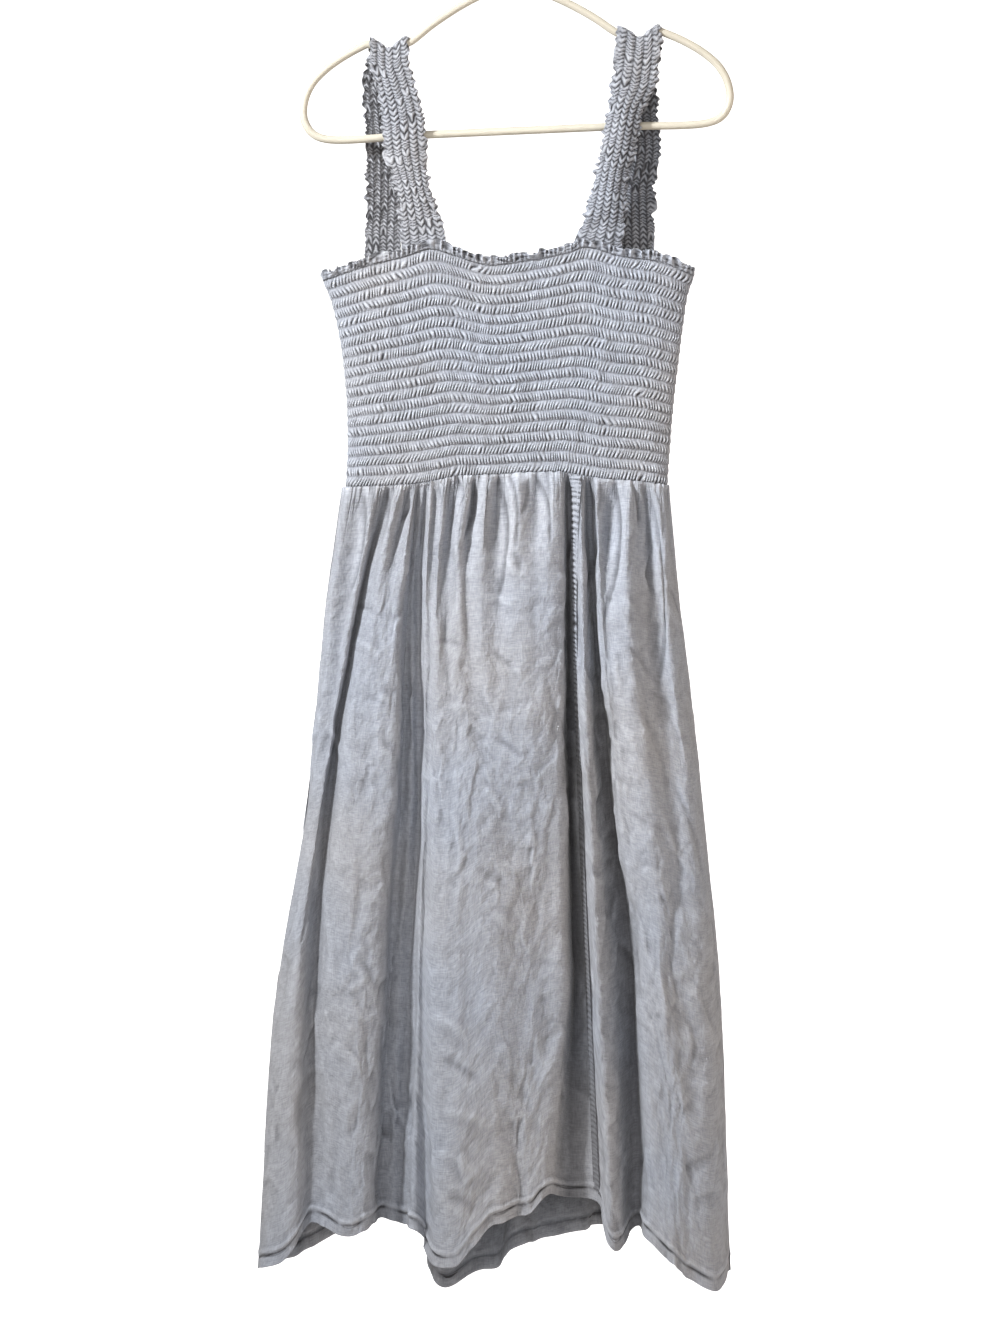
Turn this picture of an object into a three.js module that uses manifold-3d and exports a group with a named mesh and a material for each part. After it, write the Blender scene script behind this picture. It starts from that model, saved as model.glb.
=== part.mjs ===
// A smocked dress on a tubular hanger, in millimetres with +Z up and the front towards -Y.
// The origin is the inner top of the hanger's hook, where a rod carries it.
// Every cloth piece is a thin closed wall, laid on a surface that is worked out from the tables below.

import * as THREE from "three";
import Module from "manifold-3d";
import { mergeVertices } from "three/addons/utils/BufferGeometryUtils.js";

const SEAM_GAP = 0.3;
const CLOTH_WALL = 1.6;

const HANGER_TILT = THREE.MathUtils.degToRad(2.5);
const HANGER_TUBE_RADIUS = 4;
const HANGER_TUBE_SIDES = 8;
const HOOK_INNER_RADIUS = 22;
const HOOK_TIP_ANGLE = THREE.MathUtils.degToRad(200);
const HOOK_FOOT_ANGLE = THREE.MathUtils.degToRad(-62);
const HOOK_STEPS = 16;
const NOTCH_PLACE = 125.5;
const NOTCH_HALF_WIDTH = 21;
const NOTCH_HEIGHT = -143;
const NOTCH_RISE = 11;
const NOTCH_STEPS = 10;
const STRAP_SEAT_GAP = 0.5;

const BODICE_INNER_LAYER = 1.4;
const BODICE_ROWS = 21;
const BODICE_COLUMNS = 22;
const BODICE_INNER_ROWS = 10;
const PUFF_HEIGHT = 1.7;
const BODICE_DEPTH_TOP = 14;
const BODICE_DEPTH_WAIST = 16;
const SIDE_ROUNDNESS = 6;

const HEADING_HEIGHT = 9;
const HEADING_WAVES = 22;
const HEADING_STOPS_A_WAVE = 4;
const HEADING_WAVE_DEPTH = 4;

const STRAP_COLUMNS = 10;
const STRAP_CORDS = 5;
const STRAP_RIB_HEIGHT = 1.1;
const STRAP_STEPS_A_ROW = 2;
const STRAP_NOTCH_FADE = 55;
const STRAP_SEAT_START = 300;
const STRAP_SEAT_FULL = 328;
const STRAP_TURN_DEGREES = [90, 45, 0, -45, -90];
const STRAP_RIB_PLAIN_END = 0.067;
const STRAP_RIB_FULL_END = 0.15;

const SKIRT_LENGTH = 760;
const SKIRT_LEDGE = 1;
const HEM_BAND = 12;
const HEM_EXTRA = 0.5;
const HEM_STEP = 0.002;
const STOPS_A_STATION = 2;

const CLOTH_COLOUR = "#a9adb8";
const HANGER_COLOUR = "#e6dfcc";

// Steps, as shares of a surface or of a curve, over which a slope or a spacing is measured.
const SLOPE_STEP = 1e-4;
const SPACING_STEP = 0.1;
const ROUNDING = 1e-6;

// The hanger's middle line as x and z: the hook's stem, the arm as far as the strap notch, and on to the bar.
const HOOK_STEM = [[4, -51], [0, -58], [0, -68], [0, -80]];
const ARM_FROM_NECK = [[0, -79], [26, -86], [54, -99], [82, -116], [98, -128]];
const ARM_TO_BAR = [
  [154, -135], [172, -144], [190, -156], [204, -170], [212, -187], [213, -204], [206, -218], [192, -225],
  [100, -225], [0, -225],
];

// The bodice's side edges. level runs from 0 at the first elastic row to 1 at the waist seam.
const BODICE_SIDES = [
  { level: 0, left: -185, right: 186 },
  { level: 0.1, left: -176.5, right: 179 },
  { level: 0.23, left: -170, right: 175 },
  { level: 0.4, left: -164.5, right: 170.5 },
  { level: 0.6, left: -161, right: 165.5 },
  { level: 0.8, left: -160, right: 162 },
  { level: 1, left: -162, right: 159 },
];

// Heights of the first elastic row and of the waist seam. place runs from -1 at the left to 1 at the right.
const BODICE_LINES = [
  { place: -1, top: -375, waist: -581 },
  { place: -0.77, top: -361, waist: -580 },
  { place: -0.57, top: -352, waist: -578 },
  { place: -0.42, top: -344, waist: -574 },
  { place: -0.3, top: -350, waist: -570 },
  { place: -0.1, top: -360, waist: -569 },
  { place: 0.08, top: -356, waist: -567 },
  { place: 0.33, top: -347, waist: -566 },
  { place: 0.41, top: -342, waist: -568 },
  { place: 0.6, top: -351, waist: -573 },
  { place: 0.8, top: -356, waist: -575 },
  { place: 1, top: -370, waist: -579 },
];

// Each strap from its seam at the back, over the hanger's arm, to its seam at the front.
// centre, height, depth and width are of its middle line; crest is how far the middle stands out.
const STRAP_LEFT = {
  name: "strap_left",
  notch: -1,
  back: [
    { centre: -125.5, height: -353, depth: 11.4, width: 36, crest: 0 },
    { centre: -125, height: -326, depth: 11.4, width: 36, crest: 0 },
    { centre: -124, height: -285, depth: 11.5, width: 35, crest: 2 },
    { centre: -124.5, height: -231, depth: 10, width: 36, crest: 2 },
    { centre: -128, height: -190, depth: 8, width: 37, crest: 1 },
    { centre: -123, height: -164, depth: 6.2, width: 38, crest: 0 },
  ],
  front: [
    { centre: -119, height: -160, depth: -6.4, width: 40, crest: 0 },
    { centre: -112.5, height: -184, depth: -8, width: 39, crest: 1 },
    { centre: -104.5, height: -216, depth: -9.5, width: 42, crest: 3 },
    { centre: -102, height: -247, depth: -10, width: 41, crest: 3 },
    { centre: -94.5, height: -282, depth: -10.5, width: 32, crest: 4 },
    { centre: -89.5, height: -304, depth: -11, width: 38, crest: 2 },
    { centre: -85, height: -330, depth: -11.3, width: 44, crest: 0 },
    { centre: -82, height: -353, depth: -11.4, width: 49, crest: 0 },
  ],
};

const STRAP_RIGHT = {
  name: "strap_right",
  notch: 1,
  back: [
    { centre: 128.5, height: -350, depth: 11.4, width: 38, crest: 0 },
    { centre: 128, height: -326, depth: 11.4, width: 38, crest: 0 },
    { centre: 127.5, height: -285, depth: 11.5, width: 37, crest: 2 },
    { centre: 134, height: -243, depth: 10.5, width: 38, crest: 2 },
    { centre: 131, height: -201, depth: 9, width: 38, crest: 1 },
    { centre: 131, height: -157, depth: 6.2, width: 40, crest: 0 },
  ],
  front: [
    { centre: 130.5, height: -151, depth: -6.4, width: 45, crest: 0 },
    { centre: 126.5, height: -180, depth: -8, width: 45, crest: 3 },
    { centre: 117, height: -207, depth: -9.5, width: 34, crest: 5 },
    { centre: 109.5, height: -244, depth: -10.5, width: 35, crest: 6 },
    { centre: 104, height: -266, depth: -11, width: 33, crest: 6 },
    { centre: 96, height: -316, depth: -11.2, width: 42, crest: 3 },
    { centre: 92, height: -330, depth: -11.3, width: 47, crest: 0 },
    { centre: 88, height: -352, depth: -11.4, width: 52, crest: 0 },
  ],
};

// The skirt's folds as upright lines down the cloth, from the left side seam across the front to the right.
// x holds each line's place at the SKIRT_X_LEVELS, depth how far it stands out from the middle plane at the
// SKIRT_DEPTH_LEVELS, and hem the height of its end. Small depths are valleys and large ones ridges.
const SKIRT_X_LEVELS = [0, 0.15, 0.42, 0.68, 1];
const SKIRT_DEPTH_LEVELS = [0, 0.022, 0.15, 0.42, 0.68, 1];

const SKIRT_FRONT = [
  { fold: "side_left", x: [-166, -182, -202, -235, -250], depth: [0, 0, 0, 0, 0], hem: -1362 },
  { fold: "side_ridge_left", x: [-160, -176, -197, -227, -240], depth: [13, 16, 20, 22, 24], hem: -1358 },
  { fold: "pinch_1", x: [-144, -161, -189, -214, -225], depth: [13, 15, 26, 32, 32], hem: -1351 },
  { fold: "ridge_1", x: [-132, -154, -185, -205, -213], depth: [23, 25, 26, 29, 32], hem: -1338 },
  { fold: "fold_2", x: [-118, -147, -178, -192, -197], depth: [12, 11, 11, 14, 21], hem: -1315 },
  { fold: "ridge_2", x: [-107, -135, -166, -174, -178], depth: [25, 30, 36, 40, 38], hem: -1319 },
  { fold: "pinch_3", x: [-98, -121, -146, -153, -158], depth: [14, 29, 44, 48, 44], hem: -1328 },
  { fold: "lip_4", x: [-92, -107, -116, -130, -140], depth: [23, 31, 40, 44, 40], hem: -1320 },
  { fold: "recess_4a", x: [-88, -100, -106, -118, -127], depth: [12, 11, 11, 11, 12], hem: -1310 },
  { fold: "recess_rib", x: [-84, -95, -97, -109, -116], depth: [16, 15, 18, 15, 15], hem: -1312 },
  { fold: "recess_4b", x: [-81, -89, -89, -98, -108], depth: [13, 11, 11, 11, 12], hem: -1314 },
  { fold: "lip_5", x: [-76, -82, -84, -90, -95], depth: [23, 33, 43, 45, 36], hem: -1318 },
  { fold: "pinch_5", x: [-72, -77, -79, -84, -82], depth: [19, 32, 44, 44, 26], hem: -1334 },
  { fold: "ridge_5", x: [-64, -71, -72, -74, -72], depth: [25, 37, 52, 56, 48], hem: -1356 },
  { fold: "pinch_6", x: [-51, -62, -56, -54, -53], depth: [14, 31, 58, 62, 58], hem: -1356 },
  { fold: "ridge_6", x: [-41, -53, -40, -36, -34], depth: [26, 37, 59, 63, 61], hem: -1334 },
  { fold: "pinch_7", x: [-32, -42, -26, -18, -16], depth: [14, 31, 59, 63, 56], hem: -1315 },
  { fold: "ridge_7", x: [-20, -26, -14, -6, -4], depth: [27, 39, 59, 61, 50], hem: -1312 },
  { fold: "pinch_8", x: [-8, -11, -2, 5, 7], depth: [15, 33, 57, 57, 45], hem: -1309 },
  { fold: "ridge_8", x: [10, 6, 11, 14, 14], depth: [27, 41, 55, 53, 43], hem: -1306 },
  { fold: "pinch_9", x: [30, 26, 26, 24, 23], depth: [16, 39, 53, 51, 45], hem: -1302 },
  { fold: "ridge_9", x: [43, 41, 40, 37, 32], depth: [28, 39, 49, 48, 46], hem: -1292 },
  { fold: "lip_10", x: [54, 54, 52, 56, 40], depth: [24, 32, 42, 42, 40], hem: -1286 },
  { fold: "slit_10", x: [59, 60, 61, 67, 64], depth: [11, 10, 10, 10, 12], hem: -1292 },
  { fold: "panel_seam", x: [68, 67, 72, 80, 90], depth: [22, 23, 25, 28, 20], hem: -1294 },
  { fold: "ridge_11", x: [73, 74, 82, 92, 105], depth: [27, 34, 38, 44, 42], hem: -1340 },
  { fold: "fold_12", x: [80, 85, 101, 124, 129], depth: [12, 11, 11, 11, 12], hem: -1320 },
  { fold: "lip_13", x: [86, 91, 108, 133, 140], depth: [24, 33, 39, 44, 42], hem: -1328 },
  { fold: "pinch_13", x: [106, 98, 120, 146, 154], depth: [14, 31, 44, 50, 48], hem: -1343 },
  { fold: "ridge_13", x: [120, 118, 138, 156, 164], depth: [26, 41, 50, 52, 50], hem: -1353 },
  { fold: "pinch_14", x: [137, 142, 165, 172, 180], depth: [14, 21, 34, 46, 44], hem: -1368 },
  { fold: "side_ridge_right", x: [150, 157, 183, 196, 206], depth: [20, 26, 30, 36, 36], hem: -1381 },
  { fold: "side_right", x: [161, 172, 196, 214, 222], depth: [0, 0, 0, 0, 0], hem: -1362 },
];
const PANEL_SEAM = SKIRT_FRONT.findIndex((row) => row.fold === "panel_seam");

// The same for the back, from left to right as seen from the front.
const SKIRT_BACK = [
  { fold: "back_ridge_1", x: [-156, -170, -188, -208, -224], depth: [14, 20, 26, 28, 26], hem: -1356 },
  { fold: "back_fold_2", x: [-142, -156, -170, -186, -202], depth: [12, 12, 15, 17, 20], hem: -1346 },
  { fold: "back_ridge_2", x: [-128, -138, -148, -158, -168], depth: [24, 32, 44, 48, 44], hem: -1328 },
  { fold: "back_fold_3", x: [-112, -120, -126, -132, -136], depth: [12, 14, 18, 20, 24], hem: -1306 },
  { fold: "back_ridge_3", x: [-98, -104, -106, -108, -108], depth: [24, 32, 40, 42, 38], hem: -1304 },
  { fold: "back_fold_4", x: [-84, -88, -88, -88, -85], depth: [12, 12, 12, 13, 16], hem: -1318 },
  { fold: "back_lip_4", x: [-75, -78, -77, -76, -76], depth: [24, 32, 38, 40, 36], hem: -1372 },
  { fold: "back_ridge_4", x: [-64, -64, -62, -60, -62], depth: [25, 40, 54, 58, 52], hem: -1388 },
  { fold: "back_pinch_4", x: [-48, -46, -38, -34, -36], depth: [14, 38, 56, 60, 54], hem: -1372 },
  { fold: "back_ridge_5", x: [-34, -28, -18, -12, -10], depth: [26, 38, 52, 54, 46], hem: -1366 },
  { fold: "back_fold_6", x: [-18, -12, -2, 6, 8], depth: [12, 16, 20, 20, 22], hem: -1343 },
  { fold: "back_ridge_6", x: [-2, 4, 16, 26, 32], depth: [25, 36, 48, 52, 46], hem: -1337 },
  { fold: "back_pinch_6", x: [16, 22, 36, 48, 56], depth: [14, 34, 50, 54, 46], hem: -1332 },
  { fold: "back_ridge_7", x: [34, 40, 54, 66, 74], depth: [25, 32, 42, 44, 40], hem: -1328 },
  { fold: "back_fold_8", x: [48, 54, 68, 80, 90], depth: [12, 12, 12, 14, 16], hem: -1321 },
  { fold: "back_ridge_8", x: [64, 70, 86, 100, 110], depth: [25, 36, 46, 50, 46], hem: -1328 },
  { fold: "back_fold_9", x: [80, 86, 104, 120, 132], depth: [12, 14, 16, 18, 20], hem: -1314 },
  { fold: "back_ridge_9", x: [98, 106, 126, 144, 154], depth: [25, 36, 48, 52, 48], hem: -1332 },
  { fold: "back_pinch_9", x: [116, 126, 148, 166, 176], depth: [14, 30, 44, 48, 44], hem: -1350 },
  { fold: "back_ridge_10", x: [132, 142, 166, 186, 196], depth: [24, 28, 34, 38, 36], hem: -1368 },
  { fold: "back_side_ridge", x: [149, 159, 184, 202, 212], depth: [13, 16, 18, 20, 20], hem: -1372 },
];

// Where the skirt's cloth has a ring of points, from 0 at the waist seam to 1 at the hem.
const SKIRT_RINGS = [0, 0.02, 0.05, 0.1, 0.17, 0.25, 0.34, 0.43, 0.52, 0.61, 0.7, 0.79, 0.88, 0.955];

// A value between the entries of a short list, smooth and never past its neighbours.
function between(levels, values, level) {
  const last = levels.length - 1;
  const rate = (k) => (values[k + 1] - values[k]) / (levels[k + 1] - levels[k]);
  const slope = (k) => {
    if (k === 0) {
      return rate(0);
    }
    if (k === last) {
      return rate(last - 1);
    }
    const before = rate(k - 1);
    const after = rate(k);
    return before * after > 0 ? (2 * before * after) / (before + after) : 0;
  };
  let k = 0;
  while (k < last - 1 && level > levels[k + 1]) {
    k += 1;
  }
  const span = levels[k + 1] - levels[k];
  const t = (level - levels[k]) / span;
  const t2 = t * t;
  const t3 = t2 * t;
  return (
    (2 * t3 - 3 * t2 + 1) * values[k] +
    (t3 - 2 * t2 + t) * span * slope(k) +
    (3 * t2 - 2 * t3) * values[k + 1] +
    (t3 - t2) * span * slope(k + 1)
  );
}

function column(table, name) {
  return table.map((row) => row[name]);
}

function steps(count) {
  return Array.from({ length: count + 1 }, (_, k) => k / count);
}

// The point of a surface at (across, down), moved along the outward normal, or level on upright cloth.
function moved(surface, across, down, distance, upright) {
  const a0 = Math.max(0, across - SLOPE_STEP);
  const a1 = Math.min(1, across + SLOPE_STEP);
  const d0 = Math.max(0, down - SLOPE_STEP);
  const d1 = Math.min(1, down + SLOPE_STEP);
  const along = surface(a1, down).sub(surface(a0, down));
  const fall = surface(across, d1).sub(surface(across, d0));
  const normal = fall.cross(along);
  if (upright) {
    normal.z = 0;
  }
  return surface(across, down).addScaledVector(normal.normalize(), distance);
}

// Rings of stops, from the top of a surface to its bottom. lift gives the distance that a stop is moved out.
function rings(surface, acrossStops, downStops, lift, upright = true) {
  return downStops.map((down) => ({
    place: down,
    stops: acrossStops.map((across) => ({
      place: across,
      point: moved(surface, across, down, lift(across, down), upright),
    })),
  }));
}

// A closed wall between two sets of rings, which may differ in their numbers of rings and stops.
function wall(outer, inner) {
  const positions = [];
  const triangles = [];
  const number = (ring) =>
    ring.stops.map((stop) => {
      positions.push(stop.point.x, stop.point.y, stop.point.z);
      return { place: stop.place, index: positions.length / 3 - 1 };
    });
  const strip = (upper, lower) => {
    let i = 0;
    let j = 0;
    while (i < upper.length - 1 || j < lower.length - 1) {
      const nextUpper = i < upper.length - 1 ? upper[i + 1].place : Infinity;
      const nextLower = j < lower.length - 1 ? lower[j + 1].place : Infinity;
      if (nextUpper < nextLower) {
        triangles.push(upper[i].index, lower[j].index, upper[i + 1].index);
        i += 1;
      } else {
        triangles.push(upper[i].index, lower[j].index, lower[j + 1].index);
        j += 1;
      }
    }
  };
  const face = outer.map(number);
  const lining = inner.map(number);
  for (let r = 0; r + 1 < face.length; r += 1) {
    strip(face[r], face[r + 1]);
  }
  for (let r = 0; r + 1 < lining.length; r += 1) {
    strip(lining[r + 1], lining[r]);
  }
  const edge = (numbered, source, pick) =>
    numbered.map((ring, r) => ({ place: source[r].place, index: pick(ring).index }));
  const first = (ring) => ring[0];
  const final = (ring) => ring[ring.length - 1];
  strip(lining[0], face[0]);
  strip(final(face), final(lining));
  strip(edge(face, outer, first), edge(lining, inner, first));
  strip(edge(lining, inner, final), edge(face, outer, final));
  const geometry = new THREE.BufferGeometry();
  geometry.setAttribute("position", new THREE.Float32BufferAttribute(positions, 3));
  geometry.setIndex(triangles);
  geometry.computeVertexNormals();
  return geometry;
}

function clothMesh(name, geometry) {
  const material = new THREE.MeshStandardMaterial({ color: CLOTH_COLOUR, roughness: 0.95, metalness: 0 });
  const mesh = new THREE.Mesh(geometry, material);
  mesh.name = name;
  return mesh;
}

// How far the flattened tube of cloth stands out from the middle plane, at a place from -1 to 1 across it.
function lensDepth(place, depth) {
  return depth * Math.sqrt(Math.max(0, 1 - Math.abs(place) ** SIDE_ROUNDNESS));
}

// The height of the top or waist line at a place from -1 to 1, straight between the bodice's own columns.
function bodiceLine(name, place) {
  const inside = THREE.MathUtils.clamp(place, -1, 1);
  const share = (Math.acos(-inside) / Math.PI) * BODICE_COLUMNS;
  const first = Math.min(BODICE_COLUMNS - 1, Math.floor(share + ROUNDING));
  const columnPlace = (k) => -Math.cos((Math.PI * k) / BODICE_COLUMNS);
  const height = (k) => between(column(BODICE_LINES, "place"), column(BODICE_LINES, name), columnPlace(k));
  const start = columnPlace(first);
  const t = (inside - start) / (columnPlace(first + 1) - start);
  return THREE.MathUtils.lerp(height(first), height(first + 1), t);
}

// The bodice's surface. side is -1 for the front and 1 for the back, which runs from right to left.
function bodiceSurface(side) {
  return (across, down) => {
    const place = side * Math.cos(Math.PI * across);
    const left = between(column(BODICE_SIDES, "level"), column(BODICE_SIDES, "left"), down);
    const right = between(column(BODICE_SIDES, "level"), column(BODICE_SIDES, "right"), down);
    const depth = THREE.MathUtils.lerp(BODICE_DEPTH_TOP, BODICE_DEPTH_WAIST, down);
    const top = bodiceLine("top", place);
    const bottom = bodiceLine("waist", place) + SEAM_GAP / 2;
    return new THREE.Vector3(
      THREE.MathUtils.lerp(left, right, (place + 1) / 2),
      side * (SEAM_GAP / 2 + lensDepth(place, depth)),
      THREE.MathUtils.lerp(top, bottom, down),
    );
  };
}

// Shirred cloth: a puff between each two elastic rows, raised over a plain inside.
function bodice(name, side) {
  const surface = bodiceSurface(side);
  const puff = (across, down) => PUFF_HEIGHT * Math.sin(Math.PI * down * BODICE_ROWS) ** 2;
  const outer = rings(surface, steps(BODICE_COLUMNS), steps(BODICE_ROWS * 2), puff);
  const inner = rings(surface, steps(BODICE_COLUMNS), steps(BODICE_INNER_ROWS), () => -BODICE_INNER_LAYER);
  return clothMesh(name, wall(outer, inner));
}

// The free frill above the first elastic row. Its waves open outwards only, clear of the straps behind it.
function heading(name, side) {
  const bodiceTop = bodiceSurface(side);
  const surface = (across, down) => {
    const point = bodiceTop(across, 0);
    const wave = 0.5 - 0.5 * Math.cos(2 * Math.PI * HEADING_WAVES * across);
    point.y += side * HEADING_WAVE_DEPTH * wave * (1 - down) * Math.sin(Math.PI * across) ** 0.5;
    point.z += SEAM_GAP + HEADING_HEIGHT * (1 - down);
    return point;
  };
  const across = steps(HEADING_WAVES * HEADING_STOPS_A_WAVE);
  const outer = rings(surface, across, [0, 1], () => 0);
  const inner = rings(surface, across, [0, 1], () => -BODICE_INNER_LAYER);
  return clothMesh(name, wall(outer, inner));
}

// A place on the tilted hanger, given in the hanger's own upright frame.
function onHanger(x, z) {
  return new THREE.Vector3(
    x * Math.cos(HANGER_TILT) - z * Math.sin(HANGER_TILT),
    0,
    x * Math.sin(HANGER_TILT) + z * Math.cos(HANGER_TILT),
  );
}

// How far the arm's middle line rises above the bottom of its notch, at a distance from it, and how steeply.
function notchRise(distance) {
  const inside = THREE.MathUtils.clamp(distance, -NOTCH_HALF_WIDTH, NOTCH_HALF_WIDTH);
  const angle = (Math.PI * inside) / NOTCH_HALF_WIDTH;
  return {
    rise: NOTCH_RISE * (0.5 - 0.5 * Math.cos(angle)) + inside * Math.sin(HANGER_TILT),
    slope: ((NOTCH_RISE * Math.PI) / NOTCH_HALF_WIDTH / 2) * Math.sin(angle) + Math.sin(HANGER_TILT),
  };
}

// The rows of a strap's table, with the turn over the hanger's arm put between its back and its front.
function strapRows(table) {
  const reach = HANGER_TUBE_RADIUS + STRAP_SEAT_GAP + CLOTH_WALL / 2;
  const bottom = onHanger(table.notch * NOTCH_PLACE, NOTCH_HEIGHT);
  const turn = STRAP_TURN_DEGREES.map(THREE.MathUtils.degToRad).map((angle) => ({
    centre: bottom.x,
    height: bottom.z + reach * Math.cos(angle),
    depth: reach * Math.sin(angle),
    width: (table.back.at(-1).width + table.front[0].width) / 2,
    crest: 0,
  }));
  return [...table.back, ...turn, ...table.front];
}

function strapSurface(table) {
  const rows = strapRows(table);
  const bottom = onHanger(table.notch * NOTCH_PLACE, NOTCH_HEIGHT);
  const top = BODICE_SIDES[0];
  const levels = rows.map((_, k) => k / (rows.length - 1));
  return (across, down) => {
    const value = (name) => between(levels, column(rows, name), down);
    const u = 2 * across - 1;
    const x = value("centre") + (u * value("width")) / 2;
    const height = value("height");
    const nearArm = Math.exp(-(((bottom.z - height) / STRAP_NOTCH_FADE) ** 2));
    const arm = notchRise(x - bottom.x);
    const overArm = Math.max(0, height - bottom.z) * (Math.hypot(1, arm.slope) - 1);
    const depth = value("depth");
    const free = Math.abs(depth) + value("crest") * (1 - u * u);
    const place = ((x - top.left) / (top.right - top.left)) * 2 - 1;
    const behindWall = BODICE_INNER_LAYER + SEAM_GAP + CLOTH_WALL / 2;
    const seated = Math.min(free, lensDepth(place, BODICE_DEPTH_TOP) - behindWall);
    const seat = THREE.MathUtils.smoothstep(-height, STRAP_SEAT_START, STRAP_SEAT_FULL);
    return new THREE.Vector3(
      x,
      Math.sign(depth) * THREE.MathUtils.lerp(free, seated, seat),
      height + arm.rise * nearArm + overArm,
    );
  };
}

// A strap has lengthwise ribs between its elastic lines.
function strap(table) {
  const surface = strapSurface(table);
  const intervals = strapRows(table).length - 1;
  const turnStart = table.back.length / intervals;
  const turnEnd = turnStart + (STRAP_TURN_DEGREES.length - 1) / intervals;
  const inTurn = (d) => d > turnStart - ROUNDING && d < turnEnd + ROUNDING;
  const atRow = (k) => k % STRAP_STEPS_A_ROW === 0;
  const down = steps(intervals * STRAP_STEPS_A_ROW).filter((d, k) => atRow(k) || !inTurn(d));
  const ribGrowth = STRAP_RIB_FULL_END - STRAP_RIB_PLAIN_END;
  const pastPlainEnd = (d) => Math.min(d, 1 - d) - STRAP_RIB_PLAIN_END;
  const seatedEnds = (d) => THREE.MathUtils.clamp(pastPlainEnd(d) / ribGrowth, 0, 1);
  const rib = (across, d) =>
    CLOTH_WALL / 2 + STRAP_RIB_HEIGHT * seatedEnds(d) * Math.sin(Math.PI * across * STRAP_CORDS) ** 2;
  const outer = rings(surface, steps(STRAP_COLUMNS), down, rib, false);
  const inner = rings(surface, steps(STRAP_COLUMNS), down, () => -CLOTH_WALL / 2, false);
  return clothMesh(table.name, wall(outer, inner));
}

// All fold lines in their order round the skirt: the front from left to right, then the back to the left.
const SKIRT_STATIONS = [
  ...SKIRT_FRONT.map((row) => ({ ...row, side: -1 })),
  ...SKIRT_BACK.map((row) => ({ ...row, side: 1 })).reverse(),
];

// A closed curve through every fold line at one level of the skirt.
function skirtRing(down) {
  const left = SKIRT_FRONT[0].x[0];
  const right = SKIRT_FRONT.at(-1).x[0];
  const waist = BODICE_SIDES.at(-1);
  const points = SKIRT_STATIONS.map((row) => {
    const place = ((row.x[0] - left) / (right - left)) * 2 - 1;
    const bodicePlace = ((row.x[0] - waist.left) / (waist.right - waist.left)) * 2 - 1;
    const atWaist = lensDepth(place, BODICE_DEPTH_WAIST + SKIRT_LEDGE);
    const depth = between(SKIRT_DEPTH_LEVELS, [atWaist, ...row.depth], down);
    return new THREE.Vector3(
      between(SKIRT_X_LEVELS, row.x, down),
      row.side * depth,
      THREE.MathUtils.lerp(bodiceLine("waist", bodicePlace) - SEAM_GAP / 2, row.hem, down),
    );
  });
  return new THREE.CatmullRomCurve3(points, true, "centripetal");
}

const ringsMade = new Map();

// The skirt's surface, where across counts fold lines as a share of the way round.
function skirtSurface(across, down) {
  if (!ringsMade.has(down)) {
    ringsMade.set(down, skirtRing(down));
  }
  return ringsMade.get(down).getPoint(across);
}

// A panel from one fold line to another, half a seam gap short of each.
function skirtPanel(name, firstStation, lastStation) {
  const count = SKIRT_STATIONS.length;
  const stations = lastStation - firstStation;
  const trim = (station, towards) => {
    const here = skirtSurface((station % count) / count, 0.5);
    const next = skirtSurface(((station + towards * SPACING_STEP + count) % count) / count, 0.5);
    return (towards * SPACING_STEP * (SEAM_GAP / 2)) / here.distanceTo(next);
  };
  const start = firstStation + trim(firstStation, 1);
  const end = lastStation + trim(lastStation, -1);
  const surface = (across, down) =>
    skirtSurface((THREE.MathUtils.lerp(start, end, across) % count) / count, down);
  const across = steps(stations * STOPS_A_STATION);
  const bandTop = 1 - HEM_BAND / SKIRT_LENGTH;
  const down = [...SKIRT_RINGS, bandTop - HEM_STEP, bandTop, 1];
  const thick = (_, d) => CLOTH_WALL / 2 + (d >= bandTop ? HEM_EXTRA : 0);
  const outer = rings(surface, across, down, thick);
  const inner = rings(surface, across, down, (a, d) => -thick(a, d));
  return clothMesh(name, wall(outer, inner));
}

// A round tube whose middle line lies in the hanger's own plane, closed on itself or with flat ends.
function tube(middle, closed) {
  const count = middle.length;
  const positions = [];
  const triangles = [];
  const forwards = new THREE.Vector3(0, 1, 0);
  middle.forEach((point, k) => {
    const before = middle[closed ? (k + count - 1) % count : Math.max(0, k - 1)];
    const after = middle[closed ? (k + 1) % count : Math.min(count - 1, k + 1)];
    const tangent = after.clone().sub(before).normalize();
    const outwards = tangent.clone().cross(forwards);
    for (let s = 0; s < HANGER_TUBE_SIDES; s += 1) {
      const angle = (2 * Math.PI * s) / HANGER_TUBE_SIDES;
      const place = point.clone();
      place.addScaledVector(outwards, HANGER_TUBE_RADIUS * Math.cos(angle));
      place.addScaledVector(forwards, HANGER_TUBE_RADIUS * Math.sin(angle));
      positions.push(place.x, place.y, place.z);
    }
  });
  const corner = (k, s) => (k % count) * HANGER_TUBE_SIDES + (s % HANGER_TUBE_SIDES);
  for (let k = 0; k < (closed ? count : count - 1); k += 1) {
    for (let s = 0; s < HANGER_TUBE_SIDES; s += 1) {
      triangles.push(corner(k, s), corner(k + 1, s + 1), corner(k, s + 1));
      triangles.push(corner(k, s), corner(k + 1, s), corner(k + 1, s + 1));
    }
  }
  for (let s = 1; s + 1 < HANGER_TUBE_SIDES && !closed; s += 1) {
    triangles.push(corner(0, 0), corner(0, s), corner(0, s + 1));
    triangles.push(corner(count - 1, 0), corner(count - 1, s + 1), corner(count - 1, s));
  }
  const geometry = new THREE.BufferGeometry();
  geometry.setAttribute("position", new THREE.Float32BufferAttribute(positions, 3));
  geometry.setIndex(triangles);
  return geometry;
}

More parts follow.
